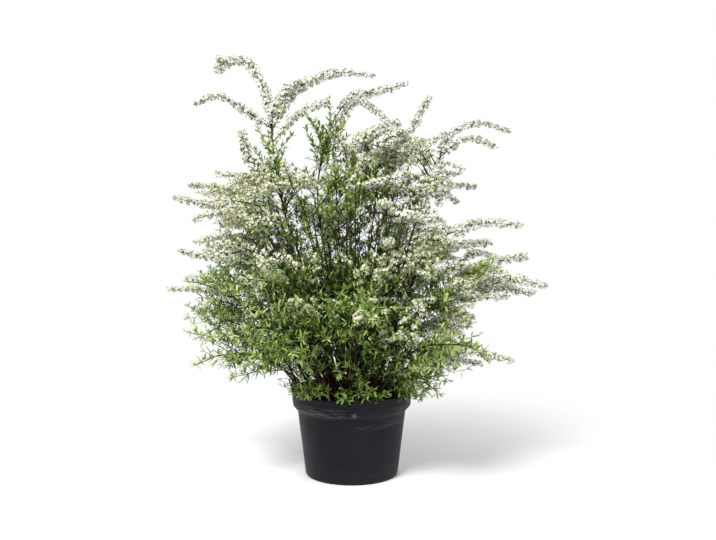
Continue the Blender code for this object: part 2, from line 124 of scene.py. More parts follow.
# Sprays: the cane that carries each one, how full it is at its foot and at its tip, its route.
SPRAYS = (
    ("upright_left", 1.1, 1.15, (-180, -30, 805), (-196, -12, 880), (-233, 20, 943), (-265, 38, 955),
        (-298, 50, 950)),
    ("upright_left", 1.05, 0.55, (-180, -30, 795), (-240, -65, 835), (-290, -90, 860),
        (-340, -110, 840)),
    ("upright_left", 1.6, 0.5, (-180, -30, 790), (-130, -20, 877), (-35, -20, 918), (55, -20, 912)),
    ("upright_left", 0.75, 0.85, (-180, -30, 765), (-110, -85, 825), (-45, -120, 845)),
    ("upright_left", 1.45, 1.1, (-165, -30, 680), (-225, -55, 720), (-240, -80, 785)),
    ("upright_middle", 1.5, 0.55, (-40, 70, 825), (0, 80, 875), (65, 95, 890), (135, 100, 910)),
    ("upright_middle", 0.85, 0.7, (-50, 70, 800), (6, 45, 856), (40, 30, 850), (85, 20, 810)),
    ("top_right", 1.25, 0.95, (95, 100, 740), (45, 45, 790), (-15, 0, 740)),
    ("top_right", 0.95, 0.85, (95, 100, 780), (142, 130, 800), (163, 150, 838), (190, 170, 885)),
    ("right_high", 1.0, 0.55, (195, -20, 720), (230, 60, 785), (300, 90, 815), (380, 100, 795)),
    ("right_high", 1.0, 0.6, (200, -20, 730), (240, -30, 765), (280, -40, 770), (325, -50, 750)),
    ("right_high", 0.65, 0.5, (180, -20, 685), (205, -85, 715), (245, -120, 700)),
    ("right_high", 1.01, 0.63, (160, -20, 630), (200, 15, 665), (295, 70, 665)),
    ("front_arch", 1.06, 0.66, (85, -160, 600), (145, -185, 600), (195, -210, 575)),
    ("right_middle", 1.05, 0.75, (210, -100, 560), (280, -125, 585), (370, -140, 580)),
    ("right_middle", 1.23, 0.77, (150, -85, 480), (230, 5, 525), (330, 60, 535)),
    ("right_low", 1.18, 0.95, (215, -30, 410), (300, 40, 480), (420, 90, 500)),
    ("right_low", 1.23, 0.77, (260, -40, 435), (350, -80, 460), (432, -100, 445)),
    ("right_lowest", 1.06, 0.66, (200, -140, 300), (265, -165, 310), (345, -190, 295)),
    ("left_high", 1.12, 0.7, (-255, 100, 620), (-310, 115, 660), (-400, 140, 670)),
    ("left_high", 1.12, 0.7, (-235, 95, 595), (-305, 60, 615), (-420, 50, 640)),
    ("left_middle", 1.06, 0.66, (-240, -110, 525), (-305, -110, 510), (-375, -120, 525)),
    ("left_low_middle", 0.78, 0.49, (-265, -50, 415), (-340, -25, 430), (-425, 0, 430)),
    ("back_left", 1.06, 0.66, (-240, 260, 540), (-285, 300, 570), (-320, 340, 560)),
    ("back_middle", 1.06, 0.66, (-70, 260, 650), (-70, 300, 690), (-70, 350, 700)),
    ("back_right", 1.06, 0.66, (135, 290, 560), (150, 330, 580), (170, 380, 575)),
    ("back_far_right", 1.06, 0.66, (270, 200, 480), (320, 235, 500), (370, 260, 485)),
)
# Short sprays between them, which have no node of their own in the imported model.
SHORT_SPRAYS = (
    ("upright_left", 0.95, 0.95, (-180, -30, 785), (-183, -34, 815), (-176, -36, 842)),
    ("upright_left", 1.15, 0.9, (-180, -30, 795), (-172, -32, 840), (-148, -34, 876), (-112, -36, 900)),
    ("right_high", 0.95, 0.85, (165, -30, 650), (136, -65, 690), (72, -80, 677), (4, -85, 660),
        (-28, -85, 643)),
    ("right_high", 1.35, 1.25, (168, -30, 665), (198, -65, 690), (208, -80, 658), (184, -85, 626)),
    ("right_high", 1.25, 1.2, (150, -30, 635), (160, -75, 672), (186, -95, 662), (176, -98, 640)),
    ("right_high", 0.7, 0.65, (172, -20, 675), (188, -22, 705), (202, -20, 735)),
    ("right_high", 0.9, 0.8, (190, -20, 715), (174, -10, 750), (190, 5, 772), (218, 20, 787)),
    ("right_high", 0.95, 0.8, (180, -20, 700), (160, 10, 742), (130, 20, 762)),
    ("upright_left", 0.7, 0.5, (-170, -30, 700), (-190, -50, 722), (-165, -65, 732)),
    ("top_right", 1.45, 1.2, (95, 100, 750), (88, 20, 797), (40, -10, 780), (-6, -16, 734)),
    ("top_right", 1.45, 1.2, (95, 95, 745), (112, 10, 786), (85, -40, 770), (40, -55, 745)),
    ("top_right", 1.25, 0.85, (93, 98, 735), (60, 50, 775), (10, 20, 765), (-20, 10, 735)),
    ("top_right", 1.34, 0.84, (86, 90, 700), (47, 45, 755), (18, 10, 770)),
    ("top_right", 0.9, 0.8, (95, 100, 770), (110, 60, 804), (96, 30, 817)),
    ("right_high", 0.75, 0.5, (160, -25, 674), (200, -50, 690), (246, -70, 694)),
    ("right_high", 0.84, 0.52, (166, -25, 657), (205, -50, 650), (239, -60, 628)),
    ("right_high", 0.9, 0.56, (140, -20, 630), (155, -60, 645), (173, -80, 617)),
    ("right_middle", 1.01, 0.63, (173, -90, 521), (213, -130, 538), (243, -150, 544)),
    ("right_middle", 1.12, 0.7, (120, -70, 420), (185, -130, 480), (262, -165, 500)),
    ("right_low", 1.01, 0.63, (200, -30, 400), (282, -110, 421), (346, -130, 428)),
    ("right_low", 0.95, 0.59, (180, -20, 390), (235, -140, 405), (269, -160, 412)),
    ("right_low", 0.95, 0.59, (130, -10, 330), (220, -60, 372), (276, -80, 374)),
    ("right_low", 1.1, 0.8, (235, -35, 425), (301, -50, 433), (365, -35, 431), (420, -20, 421)),
    ("right_lowest", 0.9, 0.56, (150, -115, 280), (220, -80, 308), (276, -65, 310)),
    ("right_lowest", 0.85, 0.6, (185, -132, 292), (240, -138, 286), (286, -140, 280)),
    ("left_high", 1.01, 0.63, (-230, 95, 590), (-275, 0, 612), (-337, -30, 626)),
    ("left_high", 1.01, 0.63, (-200, 90, 550), (-250, -60, 602), (-308, -100, 602)),
    ("left_high", 1.01, 0.63, (-180, 85, 510), (-262, -10, 550), (-344, -20, 539)),
    ("left_middle", 1.01, 0.63, (-195, -105, 470), (-255, -100, 528), (-317, -120, 538)),
)
# Leafy shoots: the cane that carries each one, and its route.
LEAFY_SHOOTS = (
    ("left_low", (-175, 70, 295), (-245, 100, 315), (-330, 125, 300), (-410, 150, 310)),
    ("left_lowest", (-250, -110, 300), (-295, -130, 295), (-335, -150, 280)),
    ("left_lowest", (-185, -80, 275), (-210, -130, 262), (-252, -160, 256)),
    ("left_low", (-260, 110, 425), (-295, 120, 450), (-340, 130, 455)),
    ("front_left", (-170, -290, 380), (-195, -330, 385), (-215, -365, 370)),
    ("front_middle", (30, -300, 420), (35, -335, 425), (40, -370, 410)),
    ("front_right", (205, -275, 345), (240, -310, 345), (265, -340, 325)),
    ("front_left", (-60, -95, 215), (-100, -110, 235), (-135, -130, 230)),
    ("right_lowest", (110, -75, 235), (160, -85, 230), (195, -95, 205)),
    ("right_low", (170, -55, 385), (205, -125, 400), (245, -160, 390)),
)
# Thickets, where growths stand close together: the cane that carries them, what they bear,
# the middle, the half sizes, how many growths, how long each is and how upright.
THICKETS = (
    ("upright_left", "garlands", (-161, -60, 664), (105, 70, 24), 16, 85, 0.15),
    ("left_middle", "garlands", (-212, -80, 604), (88, 70, 38), 13, 80, 0.25),
    ("top_right", "garlands", (72, 30, 764), (78, 50, 26), 22, 70, 0.12),
    ("right_high", "garlands", (140, -40, 650), (50, 60, 34), 7, 60, 0.1),
    ("top_right", "garlands", (60, 10, 726), (58, 50, 14), 8, 60, 0.1),
    ("upright_left", "garlands", (-228, -50, 680), (18, 50, 12), 4, 50, 0.15),
    ("left_high", "garlands", (-262, 0, 588), (24, 60, 12), 5, 60, 0.1),
    ("upright_left", "garlands", (-112, -50, 682), (26, 50, 14), 4, 55, 0.15),
    ("right_low", "garlands", (232, -150, 452), (28, 25, 14), 6, 60, 0.0),
    ("right_middle", "garlands", (215, -60, 532), (80, 80, 42), 12, 80, 0.02),
    ("right_low", "garlands", (235, -60, 384), (58, 80, 62), 9, 70, 0.0),
    ("right_high", "garlands", (150, -10, 754), (28, 40, 18), 5, 50, 0.2),
    ("right_low", "garlands", (290, -45, 470), (65, 60, 30), 11, 80, 0.0),
    ("left_high", "garlands", (-290, 20, 655), (50, 60, 26), 8, 75, 0.1),
    ("left_middle", "garlands", (-270, -40, 508), (56, 70, 40), 8, 70, 0.25),
    ("front_middle", "heads", (40, -190, 480), (80, 40, 40), 12, 50, 0.35),
    ("front_middle", "heads", (30, -210, 400), (60, 40, 40), 11, 50, 0.35),
    ("front_left", "heads", (-75, -200, 410), (60, 40, 35), 12, 50, 0.35),
    ("front_left", "heads", (-70, -160, 490), (70, 40, 40), 12, 50, 0.4),
    ("front_left", "heads", (-160, -160, 480), (70, 60, 45), 12, 55, 0.3),
    ("upright_middle", "heads", (-35, -70, 610), (80, 50, 45), 14, 50, 0.35),
    ("front_right", "heads", (100, -210, 365), (55, 40, 35), 6, 50, 0.35),
    ("right_middle", "heads", (165, -150, 505), (60, 40, 40), 12, 55, 0.3),
    ("right_lowest", "garlands", (225, -80, 335), (50, 70, 28), 6, 50, 0.1),
    ("back_left", "garlands", (-150, 220, 590), (110, 70, 80), 12, 80, 0.3),
    ("back_right", "garlands", (150, 200, 570), (110, 70, 90), 12, 80, 0.3),
    ("back_middle", "leaves", (-20, 180, 590), (110, 60, 60), 10, 60, 0.6),
    ("back_middle", "garlands", (-10, 240, 660), (70, 60, 60), 8, 80, 0.4),
    ("upright_middle", "leaves", (-56, 60, 782), (66, 30, 66), 22, 45, 1.3),
    ("upright_left", "leaves", (-176, -26, 756), (48, 22, 44), 12, 42, 1.1),
    ("top_right", "leaves", (44, 0, 680), (62, 60, 46), 13, 65, 1.0),
    ("upright_middle", "leaves", (-26, 0, 690), (26, 50, 28), 9, 50, 0.8),
    ("top_right", "leaves", (6, 10, 712), (28, 40, 20), 7, 50, 0.7),
    ("left_low_middle", "leaves", (-288, -30, 390), (75, 80, 48), 12, 70, 0.5),
    ("left_low", "leaves", (-342, 20, 366), (28, 60, 13), 8, 55, 0.15),
    ("left_lowest", "leaves", (-245, -90, 318), (56, 60, 36), 13, 60, 0.25),
    ("left_lowest", "leaves", (-262, -115, 283), (36, 30, 12), 6, 50, 0.05),
    ("right_lowest", "leaves", (218, -80, 294), (44, 80, 46), 16, 48, 0.3),
    ("right_lowest", "leaves", (212, -85, 246), (34, 45, 16), 5, 45, 0.05),
    ("right_lowest", "leaves", (146, -95, 202), (16, 30, 10), 3, 42, -0.15),
    ("right_lowest", "leaves", (135, -80, 228), (45, 50, 28), 12, 50, 0.05),
    ("right_middle", "leaves", (190, -130, 470), (80, 50, 50), 10, 55, 0.35),
    ("right_low", "leaves", (282, -110, 482), (18, 25, 14), 5, 45, 0.6),
    ("front_left", "leaves", (-88, -112, 214), (34, 22, 10), 8, 50, 0.0),
    ("front_middle", "leaves", (22, -115, 238), (50, 20, 12), 10, 50, 0.15),
    ("front_arch", "leaves", (-20, -60, 640), (100, 60, 25), 9, 50, 0.9),
    ("front_right", "leaves", (150, -220, 320), (80, 55, 45), 13, 60, 0.35),
    ("front_left", "leaves", (-120, -190, 340), (100, 60, 60), 18, 60, 0.35),
    ("front_middle", "leaves", (0, -200, 370), (100, 50, 60), 18, 60, 0.35),
    ("left_middle", "leaves", (-240, -110, 450), (80, 60, 45), 12, 65, 0.3),
    ("left_low_middle", "leaves", (-318, -20, 450), (50, 70, 18), 8, 60, 0.15),
)
# Clearings where little grows: the middle, the half sizes and the share that stays.
CLEARINGS = (
    ((-121, 0, 750), (15, 400, 45), 0.0),
    ((-214, 0, 775), (10, 400, 22), 0.0),
    ((5, -160, 560), (80, 130, 36), 0.5),
    ((-215, 0, 215), (50, 400, 45), 0.4),
    ((-135, 0, 238), (20, 300, 32), 0.3),
    ((-165, 0, 224), (30, 400, 26), 0.3),
    ((-360, 0, 335), (36, 400, 16), 0.35),
    ((292, 0, 340), (28, 400, 32), 0.1),
    ((-212, 0, 728), (22, 400, 12), 0.3),
    ((-30, -100, 250), (45, 110, 28), 0.3),
    ((262, 0, 622), (70, 400, 42), 0.0),
    ((205, 0, 713), (36, 400, 18), 0.0),
    ((310, 0, 560), (80, 400, 30), 0.2),
)
# Thin inner canes that fill the bush: how many, distance of their feet from the axis, height
# of their tips, how much of the bush's reach they take, length of the spray on each tip.
INNER_CANES = ((8, 0.088, 0.285, 0.92, 0.0), (9, 0.074, 0.360, 0.92, 0.0),
               (9, 0.060, 0.440, 0.98, 0.085), (9, 0.046, 0.530, 1.00, 0.095),
               (9, 0.034, 0.615, 1.00, 0.100), (7, 0.024, 0.685, 0.98, 0.095),
               (4, 0.014, 0.735, 0.70, 0.080))
INNER_FOOT = 0.165            # height from which the inner canes rise
CROWN_CANES = 26              # broken canes in the crown
DEAD_TWIGS = 80               # thin dry twigs round the crown
HEART_TWIGS = 240             # thin twigs in the shaded heart of the bush
BARE_CANES = 60               # thin bare canes that fan out of the crown
BASAL_SHOOTS = 76             # places for leafy shoots round the foot of the shrub
SECTORS = 6                   # the inner growth is one set of pieces for each sector
OWNERS = CANE_NAMES + [f"inner_{sector + 1}" for sector in range(SECTORS)]
# How far the bush reaches from its middle at each height, sideways, and how far its middle
# lies to the right of the pot's axis; the bush is a little less deep than it is wide.
BUSH_HEIGHTS = (0.16, 0.21, 0.25, 0.30, 0.34, 0.43, 0.52, 0.61, 0.70, 0.76, 0.82)
BUSH_REACH = (0.09, 0.13, 0.170, 0.305, 0.330, 0.340, 0.345, 0.300, 0.230, 0.130, 0.09)
BUSH_LEAN = (0.0, 0.0, 0.0, -0.020, -0.035, -0.045, -0.025, -0.050, -0.050, 0.045, 0.060)
BUSH_DEPTH = 0.88
HEART_DEPTH = 0.50            # share of the reach within which leaves get painted shade, a darker tone
SHELL_DEPTH = 0.56            # within which nothing flowers
PLAIN_DEPTH = 0.70            # and within which leaves and florets have their simplest form,
DOME_FOOT = 0.66              # all of it below this height

# ---- sizes of what grows: radii at the foot and at the tip, tones and strips ---------------
CANE_RADII = (0.0040, 0.0012)
INNER_RADII = (0.0019, 0.0010)
DEAD_RADII = (0.0016, 0.0006)
BARE_RADII = (0.0018, 0.0009)
SPRAY_RADII = (0.0015, 0.0007)
TWIG_RADII = (0.0010, 0.0005)
GOLDEN = math.radians(137.508)
# Rosettes of leaves: how far apart, how many leaves in each, how long a leaf is.
ROSETTES = {"cane": (0.0220, 4, 0.0200), "inner_cane": (0.0300, 4, 0.0210),
            "leafy_shoot": (0.0130, 5, 0.0210), "basal_shoot": (0.0135, 5, 0.0210),
            "side_shoot": (0.0165, 4, 0.0205), "flowering_shoot": (0.0210, 3, 0.0175),
            "thicket": (0.0130, 4, 0.0200), "upright_thicket": (0.0092, 2, 0.0185),
            "thicket_garland": (0.0300, 3, 0.0180), "inner_spray": (0.0140, 4, 0.0200),
            "heart_twig": (0.0200, 4, 0.0220), "fork": (0.0060, 4, 0.0100)}
LOOSE_FULLNESS = ((0.9, 0.6), (1.15, 0.8))     # least and most, each at foot and at tip
LEAF_TONES = 16               # greens, each for the upper and for the under side
FLOWER_STRIPS = 16            # petals, then buds, then buttons
BUD_STRIP = 8
BUTTON_STRIP = 11
UV_MAP = "OFBake"
UP = np.array((0.0, 0.0, 1.0))


# ---- vectors and routes --------------------------------------------------------------------
def fresh_chance(number, stream=None):
    """Starts a new stream of chance, so that what grows in one part doesn't alter the next."""
    global chance
    chance = np.random.default_rng((SEED, STREAMS.get(stream, 0) + number))


def metres(table):
    """Lengths of a table, which are millimetres, in metres."""
    return np.array(table) / 1000


def unit(vectors):
    """Vectors at length one, along the last axis."""
    return vectors / np.maximum(np.linalg.norm(vectors, axis=-1, keepdims=True), 1e-12)


def level(vectors):
    """The level part of each vector, at length one."""
    return unit(vectors * (1.0, 1.0, 0.0) + (1e-6, 0.0, 0.0))


def square_to(vectors, axes):
    """The part of each vector that is square to its axis, at length one."""
    return unit(vectors - np.sum(vectors * axes, axis=-1, keepdims=True) * axes)


def turned_by(axes, side, angle):
    """A side that is square to its axis, turned round the axis by an angle."""
    angle = angle[:, None]
    return side * np.cos(angle) + np.cross(axes, side) * np.sin(angle)


def opened_by(axes, side, turn, tilt):
    """Directions that lean away from their axes by a tilt, on the side that a turn gives."""
    tilt = tilt[:, None]
    return axes * np.cos(tilt) + turned_by(axes, side, turn) * np.sin(tilt)


def round_axis(angle, radius=1.0, height=0.0):
    """Places round the Z axis: (radius cos angle, radius sin angle, height)."""
    return np.stack(np.broadcast_arrays(radius * np.cos(angle), radius * np.sin(angle),
                                        height), -1)


def scattered(count, size):
    """Random vectors whose parts lie between minus size and size."""
    return chance.uniform(-size, size, (count, 3))


def smooth_route(points, count):
    """Points evenly spaced along a Catmull-Rom curve through the given ones."""
    knots = np.array(points, dtype=float)
    padded = np.vstack((2 * knots[0] - knots[1], knots, 2 * knots[-1] - knots[-2]))
    share = np.linspace(0.0, 1.0, 24, endpoint=False)[:, None]
    pieces = [0.5 * (2 * b + (c - a) * share + (2 * a - 5 * b + 4 * c - d) * share ** 2
                     + (3 * b - a - 3 * c + d) * share ** 3)
              for a, b, c, d in zip(padded, padded[1:], padded[2:], padded[3:])]
    fine = np.vstack(pieces + [knots[-1:]])
    run = np.concatenate(([0.0], np.cumsum(np.linalg.norm(np.diff(fine, axis=0), axis=1))))
    wanted = np.linspace(0.0, run[-1], count)
    return np.column_stack([np.interp(wanted, run, fine[:, axis]) for axis in range(3)])


def smooth_routes(rows, count):
    """Smooth routes through the points of each row."""
    return np.array([smooth_route(points, count) for points in rows])


def nearest_on(route, place):
    """The point of a route that lies nearest to a place."""
    return route[np.argmin(np.linalg.norm(route - place, axis=-1))]


def bent_routes(start, heading, bend, length, count):
    """Routes that leave their starts along a heading and bend evenly.

    Place = start + length * (t * heading + t squared * bend), with t from 0 to 1.
    """
    t = np.linspace(0.0, 1.0, count)[None, :, None]
    return start[:, None] + length[:, None, None] * (t * heading[:, None]
                                                     + t ** 2 * bend[:, None])


def run_length(routes):
    """Length of each route."""
    return np.linalg.norm(np.diff(routes, axis=1), axis=2).sum(axis=1)


def along(routes, which, share):
    """Place and heading at a share of the way along the chosen routes."""
    last = routes.shape[1] - 1
    at = np.clip(share, 0.0, 0.9999) * last
    low = at.astype(int)
    before, after = routes[which, low], routes[which, low + 1]
    return before + (after - before) * (at - low)[:, None], unit(after - before)


def tips_of(routes):
    """Place and heading at the tip of each route."""
    return along(routes, np.arange(len(routes)), np.ones(len(routes)))


def joints(routes, spacing, start=0.0, end=1.0):
    """Joints along each route: the route's number, the share of its way, the joint's rank,
    its place and the route's heading there.

    The joints stand about one spacing apart from share start to share end, each one a
    little off its even place.
    """
    lengths = run_length(routes)
    start = np.broadcast_to(start, lengths.shape)
    room = (lengths * (np.broadcast_to(end, lengths.shape) - start))[:, None]
    most = int(np.ceil((room / spacing).max()))
    place = (np.arange(most) + chance.uniform(0.2, 0.8, (len(lengths), most))) * spacing
    which, rank = np.nonzero(place < room)
    share = start[which] + place[which, rank] / lengths[which]
    return which, share, rank, *along(routes, which, share)


def reach_at(height):
    """How far the bush reaches from its axis at a height."""
    return np.interp(height, BUSH_HEIGHTS, BUSH_REACH)


def lean_at(height):
    """How far the middle of the bush lies to the right of its axis at a height."""
    return np.interp(height, BUSH_HEIGHTS, BUSH_LEAN)


def how_far_out(places):
    """Distance from the bush's middle, as a share of the bush's reach at that height."""
    sideways = places[..., 0] - lean_at(places[..., 2])
    return np.hypot(sideways, places[..., 1] / BUSH_DEPTH) / reach_at(places[..., 2])


def in_the_shell(places):
    """Whether each place lies far enough out, or high enough, for flowers."""
    return (how_far_out(places) > SHELL_DEPTH) | (places[:, 2] > DOME_FOOT)


def hardly_seen(places):
    """Whether each place lies so deep in the bush that the simplest form will do."""
    return (how_far_out(places) < PLAIN_DEPTH) & (places[:, 2] < DOME_FOOT)


def in_the_open(places):
    """Whether each place stays: it lies in no clearing, or is one of the few kept there."""
    stays = np.ones(places.shape[:-1], bool)
    for middle, half, share in CLEARINGS:
        inside = np.linalg.norm((places - metres(middle)) / metres(half), axis=-1) < 1.0
        stays &= ~inside | (chance.random(stays.shape) < share)
    return stays


def waves(places, size, seed, count=14):
    """Smooth random field between about -1 and 1: a mean of sine waves in random directions,
    whose wavelengths lie around the size."""
    pick = np.random.default_rng(seed)
    heading = unit(pick.normal(size=(count, 3)))
    number = math.tau / (size * pick.uniform(0.6, 1.6, count))
    phase = pick.uniform(0.0, math.tau, count)
    return np.sin(places @ heading.T * number + phase).sum(axis=-1) / math.sqrt(count / 2) / 1.6


# ---- meshes --------------------------------------------------------------------------------
def mesh_piece(name, points, faces, finish, slot, nodes=(), uv=None, smooth=False):
    """Piece made of triangles, riding on the one body, in place of the named CAD nodes."""
    mesh = bpy.data.meshes.new(name)
    count = len(faces)
    mesh.vertices.add(len(points))
    mesh.vertices.foreach_set("co", np.ascontiguousarray(points, dtype=np.float32).ravel())
    mesh.loops.add(count * 3)
    mesh.loops.foreach_set("vertex_index", np.ascontiguousarray(faces, dtype=np.int32).ravel())
    mesh.polygons.add(count)
    mesh.polygons.foreach_set("loop_start", np.arange(0, count * 3, 3, dtype=np.int32))
    mesh.polygons.foreach_set("use_smooth", np.full(count, smooth))
    if uv is not None:
        layer = mesh.uv_layers.new(name=UV_MAP)
        layer.data.foreach_set("uv", np.ascontiguousarray(uv, dtype=np.float32).ravel())
    mesh.update(calc_edges=True)
    mesh.validate()
    mesh.materials.append(finish)
    made = bpy.data.objects.new(name, mesh)
    bpy.context.scene.collection.objects.link(made)
    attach(made, "root")
    if nodes:
        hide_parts(*nodes)
    return made


def stacked(parts):
    """Point and face arrays of several shapes, joined into one pair."""
    firsts = np.cumsum([0] + [len(points) for points, faces in parts])
    return (np.vstack([points for points, faces in parts]),
            np.vstack([faces + first for (points, faces), first in zip(parts, firsts)]))


def wall_faces(rows, sides):
    """Triangles of a round wall of rows of points, and of its two ends, each of which runs
    to one more point: the foot's comes after the wall's points, then the tip's."""
    row = np.arange(sides)
    here = np.arange(rows - 1)[:, None] * sides + row
    beside = np.roll(here, -1, axis=1)
    wall = [np.stack(corners, -1).reshape(-1, 3) for corners in (
        (here, beside, here + sides), (beside, beside + sides, here + sides))]
    last = here[-1] + sides
    ends = [np.stack((np.roll(row, -1), row, np.full(sides, rows * sides)), -1),
            np.stack((last, np.roll(last, -1), np.full(sides, rows * sides + 1)), -1)]
    return np.concatenate(wall + ends)


def tube_mesh(routes, radii, sides):
    """Round bars, one for each route.

    A ring of points stands square to the route at each of its stations: ring point =
    station + radius * (cosine * side + sine * over).  One more point closes each end.
    """
    count, stations = routes.shape[:2]
    heading = unit(np.gradient(routes, axis=1))
    turn = np.cross(heading[:, 0], heading[:, -1])
    plain = np.cross(heading[:, 0], np.array((0.31, 0.17, 0.93)))
    turn = np.where(np.linalg.norm(turn, axis=1, keepdims=True) > 0.12, turn, plain)
    side = square_to(turn[:, None], heading)
    over = np.cross(heading, side)
    angle = np.arange(sides) * math.tau / sides
    ring = (np.cos(angle)[:, None] * side[:, :, None]
            + np.sin(angle)[:, None] * over[:, :, None])
    rings = routes[:, :, None] + ring * radii[:, :, None, None]
    points = np.concatenate((rings.reshape(count, -1, 3), routes[:, :1], routes[:, -1:]), 1)
    starts = np.arange(count) * (stations * sides + 2)
    faces = wall_faces(stations, sides)[None] + starts[:, None, None]
    return points.reshape(-1, 3), faces.reshape(-1, 3)


def tapered(routes, radii):
    """Radius at each station of each route, thinning evenly from foot to tip."""
    return np.broadcast_to(np.linspace(radii[0], radii[1], routes.shape[1]),
                           routes.shape[:2])


def outward_faces(points, faces):
    """The faces, turned over if the closed shape that they make is inside out."""
    a, b, c = points[faces[:, 0]], points[faces[:, 1]], points[faces[:, 2]]
    return faces if np.sum(a * np.cross(b, c)) > 0 else faces[:, ::-1]


# ---- one leaf, one floret and one lump -----------------------------------------------------
def leaf_form(stations):
    """Narrow leaf, one unit wide and one long, as a closed thin body.

    At each station along it stand a left edge point, one on the midrib and a right edge
    point.  Half width = half the sine of pi times the share to the power 0.9, to the power
    0.6.  A point closes each end.  Each face knows its place across and along the leaf, and
    whether it is on the under side.
    """
    share = np.array(stations)
    rows = len(share)
    half = 0.5 * np.sin(math.pi * share ** 0.9) ** 0.6
    ring = np.stack([np.outer(half, (-1.0, 0.0, 1.0)), np.repeat(share[:, None], 3, 1),
                     np.tile((0.0, 0.5, 0.0), (rows, 1))], -1)
    points = np.vstack(((0.0, 0.0, 0.0), ring.reshape(-1, 3), (0.0, 1.0, 0.0)))
    across = np.concatenate(([0.5], np.tile((0.0, 0.5, 1.0), rows), [0.5]))
    tip = len(points) - 1
    faces = []
    for edge, beside in ((0, 1), (1, 2), (2, 0)):
        faces.append((0, 1 + beside, 1 + edge))
        for row in range(1, tip - 3, 3):
            faces += [(row + edge, row + beside, row + 3 + edge),
                      (row + beside, row + 3 + beside, row + 3 + edge)]
        faces.append((tip - 3 + edge, tip - 3 + beside, tip))
    faces = np.array(faces)
    corners = np.stack((across[faces], points[faces, 1]), -1)
    turned = outward_faces(points, faces)
    return {"points": points, "faces": turned,
            "strip": np.repeat((0, 0, LEAF_TONES), 2 * rows),
            "corners": corners if turned is faces else corners[:, ::-1]}


def floret_form(shoulders):
    """Open floret of one unit radius with five petals, as a closed body.

    The rim has a notch point at 0.5 between petals and, on each petal, one tip point or
    two shoulder points at 1; with neither it is a plain pentagon.  Above, it is joined to a
    point over the middle; beneath, each petal is closed to its two notches and the five
    notches make the floret's foot.  On the finest form a three-sided button stands on the
    middle.
    """
    petal = np.arange(5) * math.tau / 5
    spread = np.radians(((), (0.0,), (-19.0, 19.0))[shoulders])
    angle = np.concatenate((petal[:, None] - math.pi / 5, petal[:, None] + spread), 1).ravel()
    radius = np.tile([0.50 if shoulders else 0.88] + [1.0] * shoulders, 5)
    rim = round_axis(angle, radius)
    count, step = len(rim), shoulders + 1
    here, beside = np.arange(count), np.roll(np.arange(count), -1)
    above = np.stack((here, beside, np.full(count, count)), -1)
    notch = np.arange(5) * step
    following = np.roll(notch, -1)
    below = [np.stack((notch + 1 + k, notch, notch + 2 + k if k + 1 < shoulders else following),
                      -1) for k in range(shoulders)]
    foot = np.array(((2, 1, 0), (3, 2, 0), (4, 3, 0))) * step
    across = np.tile((0.0, *((), (0.5,), (0.3, 0.7))[shoulders]), 5)
    beside_across = across[beside]
    beside_across[beside_across == 0.0] = 1.0
    above_map = np.stack((across, radius, beside_across, radius[beside],
                          np.full(count, 0.5), np.full(count, 0.02)), -1).reshape(-1, 3, 2)
    below_map = np.tile(((0.5, 0.98), (0.1, 0.5), (0.9, 0.55)), (5 * shoulders, 1, 1))
    foot_map = np.tile(((0.1, 0.05), (0.5, 0.30), (0.9, 0.05)), (3, 1, 1))
    points = [rim, ((0.0, 0.0, 0.10),)]
    faces, corners = [above, *below, foot], [above_map, below_map, foot_map]
    strip = [0] * (count + 5 * shoulders + 3)
    lift = [0.0, *[1.0] * shoulders] * 5 + [0.0]
    if shoulders == 2:
        ring = round_axis(np.arange(3) * math.tau / 3, 0.26, 0.07)
        points += [ring, ((0.0, 0.0, 0.30),)]
        faces.append(np.array(((0, 1, 3), (1, 2, 3), (2, 0, 3), (0, 2, 1))) + count + 1)
        corners.append((((0.1, 0.1), (0.5, 0.2), (0.3, 0.9)),
                        ((0.5, 0.2), (0.9, 0.1), (0.6, 0.9)),
                        ((0.9, 0.1), (0.1, 0.1), (0.5, 0.9)),
                        ((0.1, 0.1), (0.9, 0.1), (0.5, 0.3))))
        strip += [BUTTON_STRIP] * 4
        lift += [0.0] * 4
    return {"points": np.vstack(points), "faces": np.vstack(faces), "strip": np.array(strip),
            "corners": np.concatenate(corners), "lift": np.array(lift)}


def set_out(form, local, place, right, ahead, over, tone, strips):
    """Copies of a form, as points, faces and map places.

    Point = place + x * right + y * ahead + z * over.  On the map each face lies in the
    strip of its tone, and across the strip as it lies across the leaf or petal.
    """
    points = (place[:, None] + local[..., :1] * right[:, None]
              + local[..., 1:2] * ahead[:, None] + local[..., 2:] * over[:, None])
    count, size = len(place), local.shape[1]
    faces = form["faces"][None] + (np.arange(count) * size)[:, None, None]
    corners = form["corners"][None]
    across = 0.12 + 0.76 * np.broadcast_to(corners[..., 0], (count,) + corners.shape[1:3])
    uv = np.stack(((tone + across) / strips,
                   np.broadcast_to(0.01 + 0.98 * corners[..., 1], across.shape)), -1)
    return points.reshape(-1, 3), faces.reshape(-1, 3), uv.reshape(-1, 2)


LEAF_FORMS = [leaf_form(stations) for stations in ((0.50,), (0.24, 0.74), (0.14, 0.45, 0.78))]
FLORET_FORMS = [floret_form(shoulders) for shoulders in (0, 1, 2)]
# an octahedron of one unit radius is the lump of unopened buds, and makes crumbs of soil
LUMP = {"points": np.vstack([(axis, -axis) for axis in np.eye(3)]),
        "faces": np.array(((0, 2, 4), (2, 1, 4), (1, 3, 4), (3, 0, 4), (2, 0, 5), (1, 2, 5),
                           (3, 1, 5), (0, 3, 5))),
        "corners": np.tile(((0.1, 0.15), (0.9, 0.3), (0.4, 0.9)), (8, 1, 1))}

# What has grown so far.  Each entry is a set of equal-length arrays that starts with the
# number of the owner, which is a cane or a sector of the inner growth.
grown = {"twigs": [], "leaves": [], "florets": [], "buds": []}


# ---- leaves, rosettes and flower heads -----------------------------------------------------
def grow_twigs(owner, routes, radii, sides):
    """Wood along the routes, thinning from the first radius to the second."""
    grown["twigs"].append((owner, routes, radii, sides))


